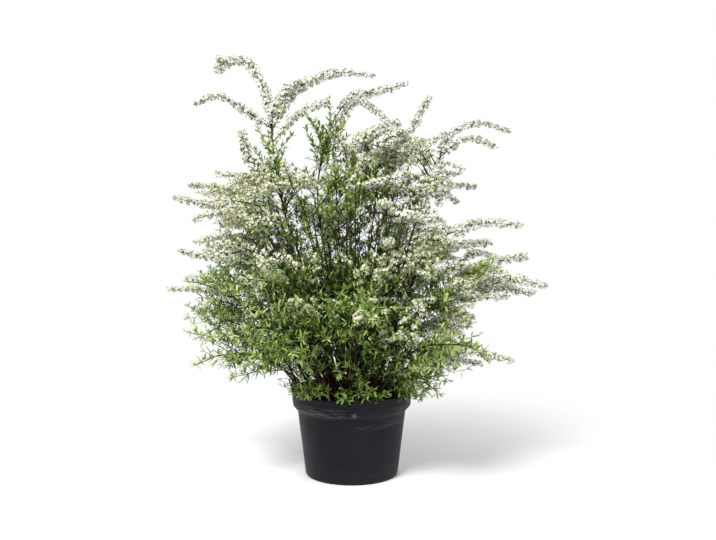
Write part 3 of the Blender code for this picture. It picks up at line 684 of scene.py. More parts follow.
def grow_leaves(owner, place, axis, length, tone, fine=False, broad=1.0):
    """Leaves at the given places, along the given axes; their upper sides face the sky.

    Those in the shaded heart are larger, have the simplest form and get painted shade.
    """
    stays = in_the_open(place)
    owner, length, tone = (np.broadcast_to(value, len(place))[stays]
                           for value in (owner, length, tone))
    place, axis, count = place[stays], axis[stays], int(stays.sum())
    depth, height = how_far_out(place), place[:, 2]
    deep = depth + np.clip((height - 0.45) / 0.10, 0.0, 1.0) < HEART_DEPTH
    # a golden layer on the left and a darker one low down; the heart gets painted shade
    golden = np.exp(-((height - 0.435) / 0.045) ** 2) * np.clip((-0.05 - place[:, 0]) / 0.1, 0, 1)
    dark = np.exp(-((height - 0.29) / 0.04) ** 2)
    inward = np.interp(depth, (0.45, 0.72, 0.98), (-0.17, -0.11, 0.12))
    tone = tone - 0.22 * deep + 0.12 * golden - 0.07 * dark
    # painted shade: below the dome, leaves darken towards the inside of the bush
    tone = tone + inward * (height < DOME_FOOT)
    length = length * (1.0 + 0.20 * deep)
    axis = unit(axis + 0.12 * UP + scattered(count, 0.12))
    over = square_to(scattered(count, 0.45) + UP, axis)
    size = length * chance.uniform(0.66, 1.12, count)
    grown["leaves"].append((owner, place, axis, over, size,
                            size * broad * chance.uniform(0.22, 0.31, count),
                            np.clip(tone, 0.0, 1.0), chance.uniform(-0.16, 0.24, count),
                            np.where(hardly_seen(place), 0, 2 if fine else 1)))


def grow_rosettes(owners, routes, kind, tone, start=0.0, end=1.0, fine=False, opening=0.80,
                  lean=0.85, broad=1.0):
    """Rosettes of leaves of a kind, on short spurs at the joints of the routes.

    The spurs go round a route by the golden angle and lean away from it; with no lean and
    two leaves, the leaves stand in opposite pairs.  The leaves of a rosette open round its
    spur; they are shorter and brighter towards the tip, where one more, narrow rosette ends
    the route.
    """
    spacing, leaves, length = ROSETTES[kind]
    which, share, rank, place, heading = joints(routes, spacing, start, end)
    angle = rank * GOLDEN + which * 1.7 + chance.normal(0.0, 0.35, len(which))
    outward = turned_by(heading, square_to((0.13, 0.09, 1.0), heading), angle)
    spur = unit(outward * lean + heading * 0.60 + 0.22 * UP)
    tip_place, tip_heading = tips_of(routes)
    place = np.concatenate((place + spur * 0.0025, tip_place))
    spur = np.concatenate((spur, tip_heading))
    which = np.concatenate((which, np.arange(len(routes))))
    share = np.concatenate((share, np.ones(len(routes))))
    rosette = np.repeat(np.arange(len(which)), leaves)
    leaf = np.tile(np.arange(leaves), len(which))
    count = len(rosette)
    axis = spur[rosette]
    turn = leaf * math.tau / leaves + rosette * 2.3 + chance.normal(0.0, 0.3, count)
    wide = np.where(share[rosette] < 1.0, 1.0, 0.6) * opening + chance.normal(0.0, 0.22, count)
    axis = opened_by(axis, square_to((0.41, -0.33, 0.27), axis), turn, wide)
    young = np.clip((share - 0.5) / 0.5, 0.0, 1.0)
    shade = np.broadcast_to(tone, len(routes))[which] + 0.20 * young
    shade = shade + chance.normal(0.0, 0.09, len(which))
    grow_leaves(owners[which][rosette], place[rosette], axis,
                length * (1.0 - 0.25 * young[rosette]),
                shade[rosette] + chance.normal(0.0, 0.13, count), fine, broad)


def grow_umbels(owners, joint, facing, florets, stem, reach, size, fine):
    """Domed flower heads of stalked florets, each head round a lump of buds.

    The stalks spread round the head's facing by up to about 65 degrees, the first ones the
    least.  Each floret stands at the end of its stalk and looks that way.
    """
    rank = np.tile(np.arange(florets), len(joint))
    head = np.repeat(np.arange(len(joint)), florets)
    count = len(rank)
    aim = facing[head]
    side = square_to((0.29, -0.17, 0.31) + scattered(count, 0.1), aim)
    tilt = 1.18 * np.sqrt((rank + 0.5) / florets) + chance.normal(0.0, 0.1, count)
    spoke = unit(opened_by(aim, side, rank * GOLDEN + head * 2.1, tilt))
    core = joint + facing * (stem + 0.30 * reach)[:, None]
    stays = in_the_shell(core) & (fine | (np.arange(len(joint)) % 2 == 0))
    grown["buds"].append((owners[stays], core[stays], 0.58 * reach[stays]))
    reach = reach[head] * chance.uniform(0.82, 1.12, count)
    size = size[head] * chance.uniform(0.85, 1.1, count)
    cup = chance.uniform(0.0, 0.45, count)
    place = joint[head] + aim * stem[head][:, None] + spoke * reach[:, None]
    look = unit(spoke + scattered(count, 0.32))
    cream = chance.random(count) * (0.5 if fine else 1.0) - (0.15 if fine else 0.0)
    stays = in_the_shell(place)
    detail = np.where(fine & (chance.random(count) < 0.42), 2,
                      np.where(hardly_seen(place), 0, 1))
    grown["florets"].append(tuple(column[stays] for column in (
        owners[head], place, look, size, cup, cream, detail)))


def grow_garlands(owners, routes, spacing, start=0.04, fullness=None):
    """Flower heads all round arching sprays, so close that they hide the twig, and small
    leaves among them.

    The heads point round the spray by the golden angle and lean towards the sky; they are
    smaller at the foot and taper away to the tip.  Without a given fullness the garlands
    are loose ones of simpler florets.
    """
    fine = fullness is not None
    if not fine:
        fullness = chance.uniform(*LOOSE_FULLNESS, (len(routes), 2))
    which, share, rank, place, heading = joints(routes, spacing, start, 0.985)
    angle = rank * GOLDEN + which + chance.normal(0.0, 0.25, len(which))
    facing = unit(turned_by(heading, square_to((0.05, 0.03, 1.0), heading), angle) + 0.38 * UP
                  + heading * 0.15)
    swell = 0.88 + 0.14 * waves(place, 0.035, 5)
    first = np.broadcast_to(start, len(routes))[which]
    share = (share - first) / (1.0 - first)
    full = fullness[which, 0] + (fullness[which, 1] - fullness[which, 0]) * share
    full *= np.interp(share, (0.0, 0.08, 0.92, 1.0), (0.75, 1.0, 1.0, 0.75)) * swell
    grow_umbels(owners[which], place, facing, 5 if fine else 4, 0.0040 * full, 0.0090 * full,
                0.0046 * np.clip(full, 0.75, 1.0), fine)
    which, share, _, place, heading = joints(routes, 0.0110 if fine else 0.0080, start)
    axis = unit(heading * 0.7 + square_to(scattered(len(which), 1.0), heading))
    grow_leaves(owners[which], place, axis, 0.0140 * (1.0 - 0.35 * share),
                0.60 + chance.normal(0.0, 0.16, len(which)))


def grow_heads(owners, routes, tone, spacing=0.0086, start=0.20):
    """Domed heads round side shoots, most on the sky side, with small leaves under them."""
    which, share, _, place, heading = joints(routes, spacing, start)
    sky = square_to(scattered(len(which), 1.0) + level(place) * 0.35 + 0.85 * UP, heading)
    facing = unit(sky + heading * 0.2)
    full = chance.uniform(0.85, 1.15, len(which)) * np.interp(share, (0.2, 0.5, 1), (1, 1, 0.8))
    grow_umbels(owners[which], place, facing, 5, 0.0034 * full, 0.0080 * full, 0.0046 * full,
                False)
    grow_rosettes(owners, routes, "flowering_shoot", tone + 0.30,
                  np.minimum(start, 0.5) * 0.25, opening=1.0)


# ---- growing the shrub ---------------------------------------------------------------------
def leafiness(places):
    """One in the leafy middle of the bush, falling off to zero all round it."""
    return np.exp(-((places[:, 0] + 0.02) / 0.09) ** 2 - ((places[:, 2] - 0.68) / 0.10) ** 2)


def flowering(places):
    """Chance that a side shoot which ends here flowers: none low down, most high up, more on
    the right hand side than on the left, few in the leafy middle, and some low in front."""
    line = 0.385 - 0.26 * places[:, 0]
    front = np.exp(-((places[:, 0] - 0.17) / 0.10) ** 2 - ((places[:, 2] - 0.43) / 0.09) ** 2
                   - ((places[:, 1] + 0.22) / 0.15) ** 2)
    return (np.clip((places[:, 2] - line) / 0.15, 0.0, 1.0) * 0.62
            * (1.0 - 0.75 * leafiness(places)) + 0.55 * front)


def grow_side_shoots(owners, canes, spacing, longest, start, end=0.97, leafy=False, edge=1.0):
    """Side shoots along canes, from the share start on.

    They leave their cane by the golden angle, lean outward and up, and stop at the bush's
    edge, or at a multiple of its reach.  Those in the flowering part carry domed heads,
    unless their cane is a leafy one; the others carry tufts of leaves.
    """
    which, share, rank, foot, heading = joints(canes, spacing, start, end)
    count, away = len(which), level(foot)
    outward = turned_by(heading, square_to((0.07, 0.05, 1.0), heading),
                        rank * GOLDEN + which * 0.9)
    leaving = unit(heading * 0.50 + outward * 0.80 + away * 0.35 + 0.22 * UP)
    length = longest * chance.uniform(0.55, 1.0, count) * np.interp(
        share, (0.0, 0.35, 0.7, 1.0), (0.7, 1.0, 0.9, 0.55))
    inside, outside = how_far_out(foot), how_far_out(foot + leaving * length[:, None])
    edge, leafy = (np.broadcast_to(value, len(owners))[which] for value in (edge, leafy))
    room = np.where(outside > edge, (edge - inside) / np.maximum(outside - inside, 1e-6), 1.0)
    length = length * np.clip(room, 0.30, 1.0)
    bend = -0.10 * UP + away * 0.10 + scattered(count, 0.12)
    routes = bent_routes(foot, leaving, bend, length, 4)
    stays = in_the_open(routes[:, -1])
    owner, foot, routes, leafy = owners[which][stays], foot[stays], routes[stays], leafy[stays]
    count, tips = len(foot), routes[:, -1]
    grow_twigs(owner, routes, TWIG_RADII, 3)
    # brighter outside and high up, which is painted light, and brighter on the left
    tone = 0.29 + 0.18 * waves(foot, 0.09, 3) + chance.normal(0.0, 0.07, count)
    tone += 0.30 * (how_far_out(tips) - 0.75)
    tone += 0.16 * np.clip((-foot[:, 0] - 0.04) / 0.15, 0.0, 1.0)
    tone += 0.12 * np.clip((foot[:, 2] - 0.50) / 0.10, 0.0, 1.0)
    blooms = (chance.random(count) < flowering(tips)) & in_the_shell(tips) & ~leafy
    plain = ~blooms
    if plain.any():
        grow_rosettes(owner[plain], routes[plain], "side_shoot", tone[plain], start=0.12)
    if blooms.any():
        grow_heads(owner[blooms], routes[blooms], tone[blooms])


def named_routes(rows, canes, count):
    """Owners and routes of the rows of a table; each starts at the nearest place on its
    cane.  The points of a row are its tuples."""
    owners, routes = [], []
    for row in rows:
        owners.append(CANE_NAMES.index(row[0]))
        points = metres([part for part in row if isinstance(part, tuple)])
        points[0] = nearest_on(smooth_route(canes[owners[-1]], 200), points[0])
        routes.append(smooth_route(points, count))
    return np.array(owners), np.array(routes)


def grow_named():
    """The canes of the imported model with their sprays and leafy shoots."""
    canes = smooth_routes([metres(points) for points in CANES.values()], 28)
    owners = np.arange(len(canes))
    grow_twigs(owners, canes, CANE_RADII, 8)
    upright = np.array([name.startswith("upright") for name in CANES])
    # the arching cane in front is bare from its middle on
    end = np.array([0.52 if name == "front_arch" else 0.97 for name in CANES])
    grow_side_shoots(owners, canes, spacing=0.0225, longest=0.105, start=0.30, end=end,
                     leafy=upright)
    grow_rosettes(owners, canes, "cane", 0.48, start=0.38, end=end)
    for stream, rows, spacing, start in (("sprays", SPRAYS, 0.0038, 0.11),
                                         ("short_sprays", SHORT_SPRAYS, 0.0040, 0.18)):
        fresh_chance(0, stream)
        owner, routes = named_routes(rows, canes, 22)
        grow_twigs(owner, routes, SPRAY_RADII, 5)
        grow_garlands(owner, routes, spacing, start, np.array([row[1:3] for row in rows]))
        if rows is SPRAYS:
            # the topmost spray ends in a short fork
            tip, heading = along(routes, np.zeros(2, int), np.ones(2))
            fork = bent_routes(tip, unit(heading + ((0, 0, 0.9), (0, 0, -1.3))),
                               np.zeros((2, 3)), np.array((0.017, 0.023)), 5)
            grow_garlands(owner[:2], fork, 0.0040, fullness=np.full((2, 2), 1.10))
            grow_rosettes(owner[:2], fork, "fork", 0.40, start=0.4)
    fresh_chance(0, "leafy_shoots")
    owner, routes = named_routes(LEAFY_SHOOTS, canes, 14)
    grow_twigs(owner, routes, SPRAY_RADII, 5)
    grow_rosettes(owner, routes, "leafy_shoot", 0.48, start=0.05, fine=True)
    edge = np.where([row[0].startswith("front") for row in LEAFY_SHOOTS], 1.35, 1.0)
    grow_side_shoots(owner, routes, spacing=0.020, longest=0.110, start=0.05, end=0.85,
                     leafy=True, edge=edge)


def grow_thickets():
    """Growths close together: each leaves its cane a little lower down, and its last part
    lies near a random place in the thicket and points away from the axis and up.

    In an upright thicket the growths point away from their cane, and their leaves are broad
    and stand in pairs.  The garlands droop at their tips.
    """
    for number, (cane, bears, middle, half, count, length, upright) in enumerate(THICKETS):
        fresh_chance(number)
        fine = smooth_route(metres(CANES[cane]), 200)
        place = metres(middle) + (unit(chance.normal(size=(count, 3))) * metres(half)
                                  * chance.uniform(0.0, 1.0, (count, 1)) ** 0.4)
        near = np.array([nearest_on(fine, one) for one in place])
        away = level(place - near if upright > 1.0 else place)
        heading = unit(away * 0.75 + upright * UP + scattered(count, 0.40))
        run = metres(length) * chance.uniform(0.7, 1.15, count)[:, None]
        inner, tip = place - heading * run / 2, place + heading * run / 2
        tip[:, 2] -= (0.14 if bears == "garlands" else 0.0) * run[:, 0]
        start = np.array([nearest_on(fine, one) for one in inner - 0.045 * UP])
        bulge = start + (inner - start) * 0.5 + 0.010 * UP
        routes = smooth_routes(np.stack((start, bulge, inner, place, tip), 1), 9)
        stays = in_the_open(tip)
        routes, run, count = routes[stays], run[stays, 0], int(stays.sum())
        owner = np.full(count, CANE_NAMES.index(cane))
        grow_twigs(owner, routes, TWIG_RADII, 3)
        first = 1.0 - np.clip(run * 1.05 / run_length(routes), 0.0, 0.95)
        if bears == "heads":
            grow_heads(owner, routes, 0.35, spacing=0.0125, start=first)
        elif bears == "garlands":
            grow_garlands(owner, routes, 0.0046, start=first)
            grow_rosettes(owner, routes, "thicket_garland", 0.6, start=0.15, end=first)
        elif upright > 1.0:
            grow_rosettes(owner, routes, "upright_thicket", 0.56, start=0.25, opening=0.85,
                          lean=0.0, broad=1.35)
        else:
            # painted light: the leaves of a thicket are brighter the higher it ends
            bright = 0.50 + 0.60 * np.clip(routes[:, -1, 2] - 0.55, 0.0, 0.2)
            grow_rosettes(owner, routes, "thicket", bright, start=0.30)


def sector_of(routes):
    """Owner number of inner growth: the sector in which each route ends."""
    angle = np.arctan2(routes[:, -1, 1], routes[:, -1, 0]) % math.tau
    return len(CANES) + (angle / math.tau * SECTORS).astype(int) % SECTORS


def grow_inner_canes():
    """Thin canes in seven tiers all round the crown, most of them with a spray at the tip.

    Each one rises steeply, then leans out to its share of the bush's reach: place = foot
    distance + (reach - foot distance) * outward, at the foot's height + rise * upward.
    """
    outward, upward = np.array((0.0, 0.38, 0.74, 1.0)), np.array((0.0, 0.50, 0.86, 1.0))
    for tier, (count, foot, height, share, spray) in enumerate(INNER_CANES):
        fresh_chance(tier, "inner_canes")
        angle = (np.arange(count) + chance.uniform(-0.22, 0.22, count)) * math.tau / count + tier
        out = round_axis(angle) * (1.0, BUSH_DEPTH, 0.0)
        height = height + chance.uniform(-0.025, 0.025, count)
        reach = reach_at(height) * share * chance.uniform(0.85, 1.0, count) - 0.6 * spray
        radius = foot + (reach - foot)[:, None] * outward
        canes = smooth_routes(np.stack((
            out[:, :1] * radius + lean_at(height)[:, None] * outward, out[:, 1:2] * radius,
            INNER_FOOT + (height - INNER_FOOT)[:, None] * upward), -1), 18)
        canes = canes[in_the_open(canes[:, -1])]
        count = len(canes)
        owners = sector_of(canes)
        grow_twigs(owners, canes, INNER_RADII, 5)
        grow_side_shoots(owners, canes, spacing=0.0250, longest=0.100, start=0.24)
        grow_rosettes(owners, canes, "inner_cane", 0.42, start=0.5)
        if not spray:
            continue
        tip, heading = tips_of(canes)
        leaving = unit(heading * (1.0, 1.0, 0.45) + scattered(count, 0.35))
        routes = bent_routes(tip, leaving, np.tile(-0.22 * UP, (count, 1)),
                             spray * chance.uniform(0.75, 1.15, count), 12)
        stays = in_the_open(routes[:, -1]) & in_the_open(routes[:, 6])
        stays &= chance.random(count) > 0.8 * leafiness(routes[:, -1])
        routes, owner = routes[stays], owners[stays]
        grow_twigs(owner, routes, SPRAY_RADII, 3)
        # low down on the left they are leafy
        leafy = (routes[:, -1, 0] < -0.02) & (routes[:, -1, 2] < 0.49)
        if leafy.any():
            grow_rosettes(owner[leafy], routes[leafy], "inner_spray", 0.52, start=0.1)
        owner, routes = owner[~leafy], routes[~leafy]
        if len(routes):
            grow_garlands(owner, routes, 0.0044, start=0.06)


def grow_heart():
    """Leafy twigs in the shaded heart, bare canes that fan out of the crown, and short leafy
    shoots that stand in five clumps round its foot."""
    fresh_chance(0, "heart")
    count = HEART_TWIGS
    foot = scattered(count, 1.0) * (0.12, 0.10, 0.11) + (-0.015, 0.0, 0.320)
    leaving = unit(foot * (5.0, 5.0, 0.0) + scattered(count, 0.8) + 0.9 * UP)
    routes = bent_routes(foot, leaving, scattered(count, 0.2),
                         chance.uniform(0.06, 0.15, count), 6)
    owners = sector_of(routes)
    grow_twigs(owners, routes, TWIG_RADII, 3)
    # painted shade: the heart's leaves have a low, dark tone
    grow_rosettes(owners, routes, "heart_twig", 0.22, start=0.2)

    fresh_chance(0, "bare_canes")
    count = BARE_CANES
    out = round_axis(np.arange(count) * GOLDEN) * (1.0, 0.8, 1.0)
    foot = out * chance.uniform(0.01, 0.06, count)[:, None] + (-0.01, 0.01, 0.24)
    leaving = unit(out * chance.uniform(0.05, 0.65, count)[:, None] + UP)
    routes = bent_routes(foot, leaving, out * 0.10 + scattered(count, 0.05),
                         chance.uniform(0.18, 0.40, count), 7)
    routes = routes[how_far_out(routes[:, -1]) < 0.85]
    grow_twigs(sector_of(routes), routes, BARE_RADII, 4)

    fresh_chance(0, "basal_shoots")
    angle = np.arange(BASAL_SHOOTS) * GOLDEN
    angle = angle[np.cos(5.0 * angle + 1.05) > -0.55]
    count, out = len(angle), round_axis(angle)
    foot = out * chance.uniform(0.03, 0.100, count)[:, None] + (SOIL_TOP - 0.004) * UP
    leaving = unit(out * chance.uniform(0.4, 1.1, count)[:, None] + UP)
    length = chance.uniform(0.045, 0.110, count)
    routes = bent_routes(foot, leaving, out * 0.25 - 0.22 * UP, length, 8)
    owners = sector_of(routes)
    grow_twigs(owners, routes, TWIG_RADII, 5)
    grow_rosettes(owners, routes, "basal_shoot", 0.17 + chance.normal(0.0, 0.1, count),
                  start=0.15, fine=True)


# ---- what each owner carries, as meshes ----------------------------------------------------
def gathered(kind, owner, detail=None):
    """Columns of all growth of a kind that an owner has, at one level of detail if given."""
    rows = [[column[(entry[0] == owner) & (detail is None or entry[-1] == detail)]
             for column in entry[1:]] for entry in grown[kind]]
    return [np.concatenate(columns) for columns in zip(*rows)]


def leaves_of(owner):
    """Points, faces and map places of all leaves of an owner."""
    parts = []
    for detail, form in enumerate(LEAF_FORMS):
        place, axis, over, length, width, tone, curl, _ = gathered("leaves", owner, detail)
        if not len(place):
            continue
        across, ahead, lift = form["points"].T
        length, width = length[:, None], width[:, None]
        # the blade is folded along its midrib, thin, and curls up or down towards its tip
        local = np.stack((across * width, ahead * length,
                          np.abs(across) * width * 0.55 + lift * 0.0005
                          + ahead ** 2 * (curl[:, None] * length)), -1)
        strip = np.minimum((tone * LEAF_TONES).astype(int), LEAF_TONES - 1)
        parts.append(set_out(form, local, place, np.cross(axis, over), axis, over,
                             (strip[:, None] + form["strip"])[..., None], 2 * LEAF_TONES))
    return parts


def florets_of(owner):
    """Points, faces and map places of all florets of an owner."""
    parts = []
    for detail, form in enumerate(FLORET_FORMS):
        place, look, size, cup, cream, _ = gathered("florets", owner, detail)
        if not len(place):
            continue
        right = square_to(scattered(len(place), 1.0), look)
        local = form["points"] * size[:, None, None]
        local[..., 2] += form["lift"] * (cup * size)[:, None]
        # the petals are whiter on the right and high up, and creamier on the left; some
        # florets are only half open and still green
        cream = np.clip(0.8 * cream + 0.28 - 0.5 * place[:, 0]
                        - 2.0 * np.clip(place[:, 2] - 0.70, 0.0, 0.2), 0.0, 0.86)
        cream = np.where(chance.random(len(place)) < 0.13, 0.95, cream)[:, None]
        strip = form["strip"] + (cream * np.where(form["strip"], 2, BUD_STRIP)).astype(int)
        parts.append(set_out(form, local, place, right, np.cross(look, right), look,
                             strip[..., None], FLOWER_STRIPS))
    return parts


def buds_of(owner):
    """Points, faces and map places of the lumps of buds between an owner's florets."""
    place, size = gathered("buds", owner)
    count = len(place)
    if not count:
        return []
    local = LUMP["points"] * size[:, None, None] * chance.uniform(0.7, 1.2, (count, 6, 1))
    look = unit(scattered(count, 1.0))
    right = square_to(scattered(count, 1.0), look)
    strip = chance.integers(BUD_STRIP, BUTTON_STRIP, (count, 1, 1)) + np.zeros((1, 8, 1))
    return [set_out(LUMP, local, place, right, np.cross(look, right), look, strip,
                    FLOWER_STRIPS)]


def joined(parts):
    """One set of points, faces and map places from several."""
    points, faces = stacked([part[:2] for part in parts])
    return points, faces, np.vstack([part[2] for part in parts])


def twigs_of(owner):
    """Points and faces of all wood of an owner."""
    mine = [(routes[owners == owner], radii, sides)
            for owners, routes, radii, sides in grown["twigs"]]
    return stacked([tube_mesh(routes, tapered(routes, radii), sides)
                    for routes, radii, sides in mine if len(routes)])


# ---- finishes ------------------------------------------------------------------------------
class Shading:
    """Node tree of a material, group or world, with short ways to add nodes to it.

    An input is a number, a colour or the output of another node, which is then linked.
    """

    def __init__(self, owner):
        self.owner = owner
        if not isinstance(owner, bpy.types.NodeTree):
            owner.use_nodes = True
        self.tree = getattr(owner, "node_tree", owner)

    def fill(self, node, inputs):
        """Links or sets the inputs of a node; a colour may leave out its alpha."""
        for name, value in inputs.items():
            socket = node.inputs[name]
            if isinstance(value, bpy.types.NodeSocket):
                self.tree.links.new(value, socket)
            elif socket.type == "RGBA" and len(value) == 3:
                socket.default_value = (*value, 1.0)
            else:
                socket.default_value = value
        return node

    def add(self, kind, inputs=None, output=0, **settings):
        """Adds a node and returns one of its outputs."""
        node = self.tree.nodes.new("ShaderNode" + kind)
        for name, value in settings.items():
            setattr(node, name, value)
        return self.fill(node, inputs or {}).outputs[output]

    def maths(self, operation, *values):
        """Result of an operation on up to three values."""
        return self.add("Math", dict(enumerate(values)), operation=operation)

    def ramp(self, value, *stops, mode="LINEAR"):
        """Colour ramp through (place, colour or grey) stops, fed by the value."""
        made = self.add("ValToRGB", {"Fac": value})
        made.node.color_ramp.interpolation = mode
        elements = made.node.color_ramp.elements
        while len(elements) < len(stops):
            elements.new(0.5)
        for element, (place, colour) in zip(elements, stops):
            element.position = place
            element.color = (*(colour if isinstance(colour, tuple) else (colour,) * 3), 1.0)
        return made

    def share(self, value, low, high, **settings):
        """Where a value lies between two others, from 0 to 1."""
        return self.add("MapRange", {"Value": value, "From Min": low, "From Max": high},
                        **settings)

    def mixed(self, factor, first, second):
        """Colour between two, by a factor."""
        return self.add("Mix", {0: factor, 6: first, 7: second}, 2, data_type="RGBA")

    def tinted(self, first, second):
        """One colour multiplied by another."""
        return self.add("Mix", {0: 1.0, 6: first, 7: second}, 2, data_type="RGBA",
                        blend_type="MULTIPLY")

    def grouped(self, group, inputs):
        """Places a group and returns its outputs by name."""
        return self.add("Group", inputs, node_tree=group).node.outputs

    def raised(self, height, strength, distance):
        """Normal of a surface that is raised by a height."""
        return self.add("Bump", {"Height": height, "Strength": strength, "Distance": distance})

    def finished(self, colour, rough, specular, **more):
        """Fills the Principled shader of a material and returns the material."""
        inputs = {"Base Color": colour, "Roughness": rough, "Specular IOR Level": specular}
        self.fill(self.tree.nodes["Principled BSDF"], inputs | more)
        return self.owner


def new_group(name, inputs, outputs):
    """Node group with named inputs and outputs: an input without a default is a vector, and
    all others are numbers.  Returns it, what its inputs give, and its last node."""
    group = bpy.data.node_groups.new(name, "ShaderNodeTree")
    for label, default in inputs.items():
        kind = "NodeSocketVector" if default is None else "NodeSocketFloat"
        socket = group.interface.new_socket(label, in_out="INPUT", socket_type=kind)
        if default is not None:
            socket.default_value = default
    for label in outputs:
        group.interface.new_socket(label, in_out="OUTPUT", socket_type="NodeSocketFloat")
    return group, group.nodes.new("NodeGroupInput").outputs, group.nodes.new("NodeGroupOutput")


def make_strip_group():
    """Reads a map that is divided into upright strips: which strip, as 0 to 1, the place
    across it and the place along it."""
    group, given, end = new_group("growth_strips", {"Map": None, "Strips": 16.0},
                                  ("Strip", "Across", "Along"))
    nodes = Shading(group)
    parts = nodes.add("SeparateXYZ", {"Vector": given["Map"]}).node.outputs
    scaled = nodes.maths("MULTIPLY", parts["X"], given["Strips"])
    nodes.fill(end, {
        "Strip": nodes.maths("DIVIDE", nodes.maths("FLOOR", scaled), given["Strips"]),
        "Across": nodes.maths("FRACT", scaled), "Along": parts["Y"]})
    return group


def make_weather_group():
    """Blotches and fine grain on a solid: two noises on the object's own coordinates."""
    scales = {"Vector": None, "Blotch Scale": 40.0, "Grain Scale": 400.0}
    group, given, end = new_group("weathering", scales, ("Blotch", "Grain"))
    nodes = Shading(group)
    for label, detail, rough in (("Blotch", 4.0, 0.6), ("Grain", 6.0, 0.65)):
        noise = nodes.add("TexNoise", {"Vector": given["Vector"], "Detail": detail,
                                       "Scale": given[label + " Scale"], "Roughness": rough})
        nodes.fill(end, {label: noise})
    return group


def read_strips(nodes, strips, count):
    """The UV map of a growth, and the strip, the place across it and along it."""
    uv = nodes.add("UVMap", uv_map=UV_MAP)
    read = nodes.grouped(strips, {"Map": uv, "Strips": float(count)})
    return uv, read["Strip"], read["Across"], read["Along"]


def make_leaf_finish(strips):
    """Leaves: sixteen greens, each paler beneath, with a light midrib and a yellower tip."""
    nodes = Shading(bpy.data.materials.new("spirea_leaf"))
    uv, strip, across, place = read_strips(nodes, strips, 2 * LEAF_TONES)
    upper = ((0.020, 0.050, 0.005), (0.105, 0.215, 0.024), (0.290, 0.460, 0.082),
             (0.630, 0.750, 0.260))
    under = ((0.038, 0.080, 0.016), (0.175, 0.285, 0.062), (0.370, 0.505, 0.145),
             (0.620, 0.720, 0.280))
    green = nodes.ramp(strip, *((side + 0.5 * k / 3 * 0.97, colour)
                                for side, greens in ((0.0, upper), (0.5, under))
                                for k, colour in enumerate(greens)))
    rib = nodes.ramp(across, (0.40, 0.0), (0.49, 1.0), (0.51, 1.0), (0.60, 0.0))
    tip = nodes.ramp(place, (0.0, 0.30), (0.12, 0.0), (0.55, 0.0), (1.0, 0.45))
    mottle = nodes.add("TexNoise", {"Vector": uv, "Scale": 55.0, "Detail": 3.0})
    shade = nodes.ramp(mottle, (0.3, 0.80), (0.7, 1.12))
    body = nodes.mixed(tip, nodes.tinted(green, shade), (0.300, 0.390, 0.080))
    return nodes.finished(nodes.mixed(nodes.maths("MULTIPLY", rib, 0.45), body,
                                      (0.300, 0.400, 0.130)),
                          nodes.ramp(strip, (0.49, 0.38), (0.51, 0.62)), 0.13)


def make_flower_finish(strips):
    """Florets: cream to white petals that are green in the throat, green buds and yellow
    green buttons."""
    nodes = Shading(bpy.data.materials.new("spirea_blossom"))
    uv, strip, _, place = read_strips(nodes, strips, FLOWER_STRIPS)
    buds, buttons = (number / FLOWER_STRIPS - 0.02 for number in (BUD_STRIP, BUTTON_STRIP))
    step = 1 / FLOWER_STRIPS
    colour = nodes.ramp(
        strip, (0.00, (0.86, 0.86, 0.82)), (0.12, (0.86, 0.86, 0.76)),
        (0.24, (0.85, 0.84, 0.66)), (0.36, (0.82, 0.80, 0.54)), (0.42, (0.52, 0.55, 0.28)),
        (buds, (0.50, 0.52, 0.36)), (buds + step, (0.26, 0.30, 0.13)),
        (buds + 2 * step, (0.62, 0.63, 0.50)), (buttons, (0.50, 0.48, 0.09)),
        (buttons + step, (0.36, 0.42, 0.07)), mode="CONSTANT")
    throat = nodes.ramp(place, (0.0, 0.90), (0.22, 0.55), (0.46, 0.0))
    petal = nodes.ramp(strip, (0.0, 1.0), (buds, 0.0), mode="CONSTANT")
    vein = nodes.add("TexWave", {"Vector": uv, "Scale": 26.0, "Distortion": 2.0,
                                 "Detail": 2.0}, 1)
    veined = nodes.ramp(vein, (0.0, 0.90), (1.0, 1.0))
    throated = nodes.mixed(nodes.maths("MULTIPLY", throat, petal), colour, (0.24, 0.28, 0.10))
    return nodes.finished(nodes.tinted(throated, veined),
                          nodes.ramp(place, (0.0, 0.45), (1.0, 0.65)), 0.22)


def make_solid_finish(name, weathering, scales, stops, rough, bump):
    """Bark, wood and soil: a ramp over blotches, rougher and raised by the grain."""
    nodes = Shading(bpy.data.materials.new(name))
    place = nodes.add("Mapping", {"Vector": nodes.add("TexCoord", output="Object")})
    read = nodes.grouped(weathering, {"Vector": place, "Blotch Scale": scales[0],
                                      "Grain Scale": scales[1]})
    grain = nodes.maths("MULTIPLY_ADD", read["Grain"], 0.45, 0.0)
    blend = nodes.maths("MULTIPLY_ADD", read["Blotch"], 0.55, grain)
    return nodes.finished(nodes.ramp(blend, *stops),
                          nodes.ramp(read["Grain"], (0.3, rough[0]), (0.7, rough[1])), 0.22,
                          Normal=nodes.raised(read["Grain"], bump, 0.0012))


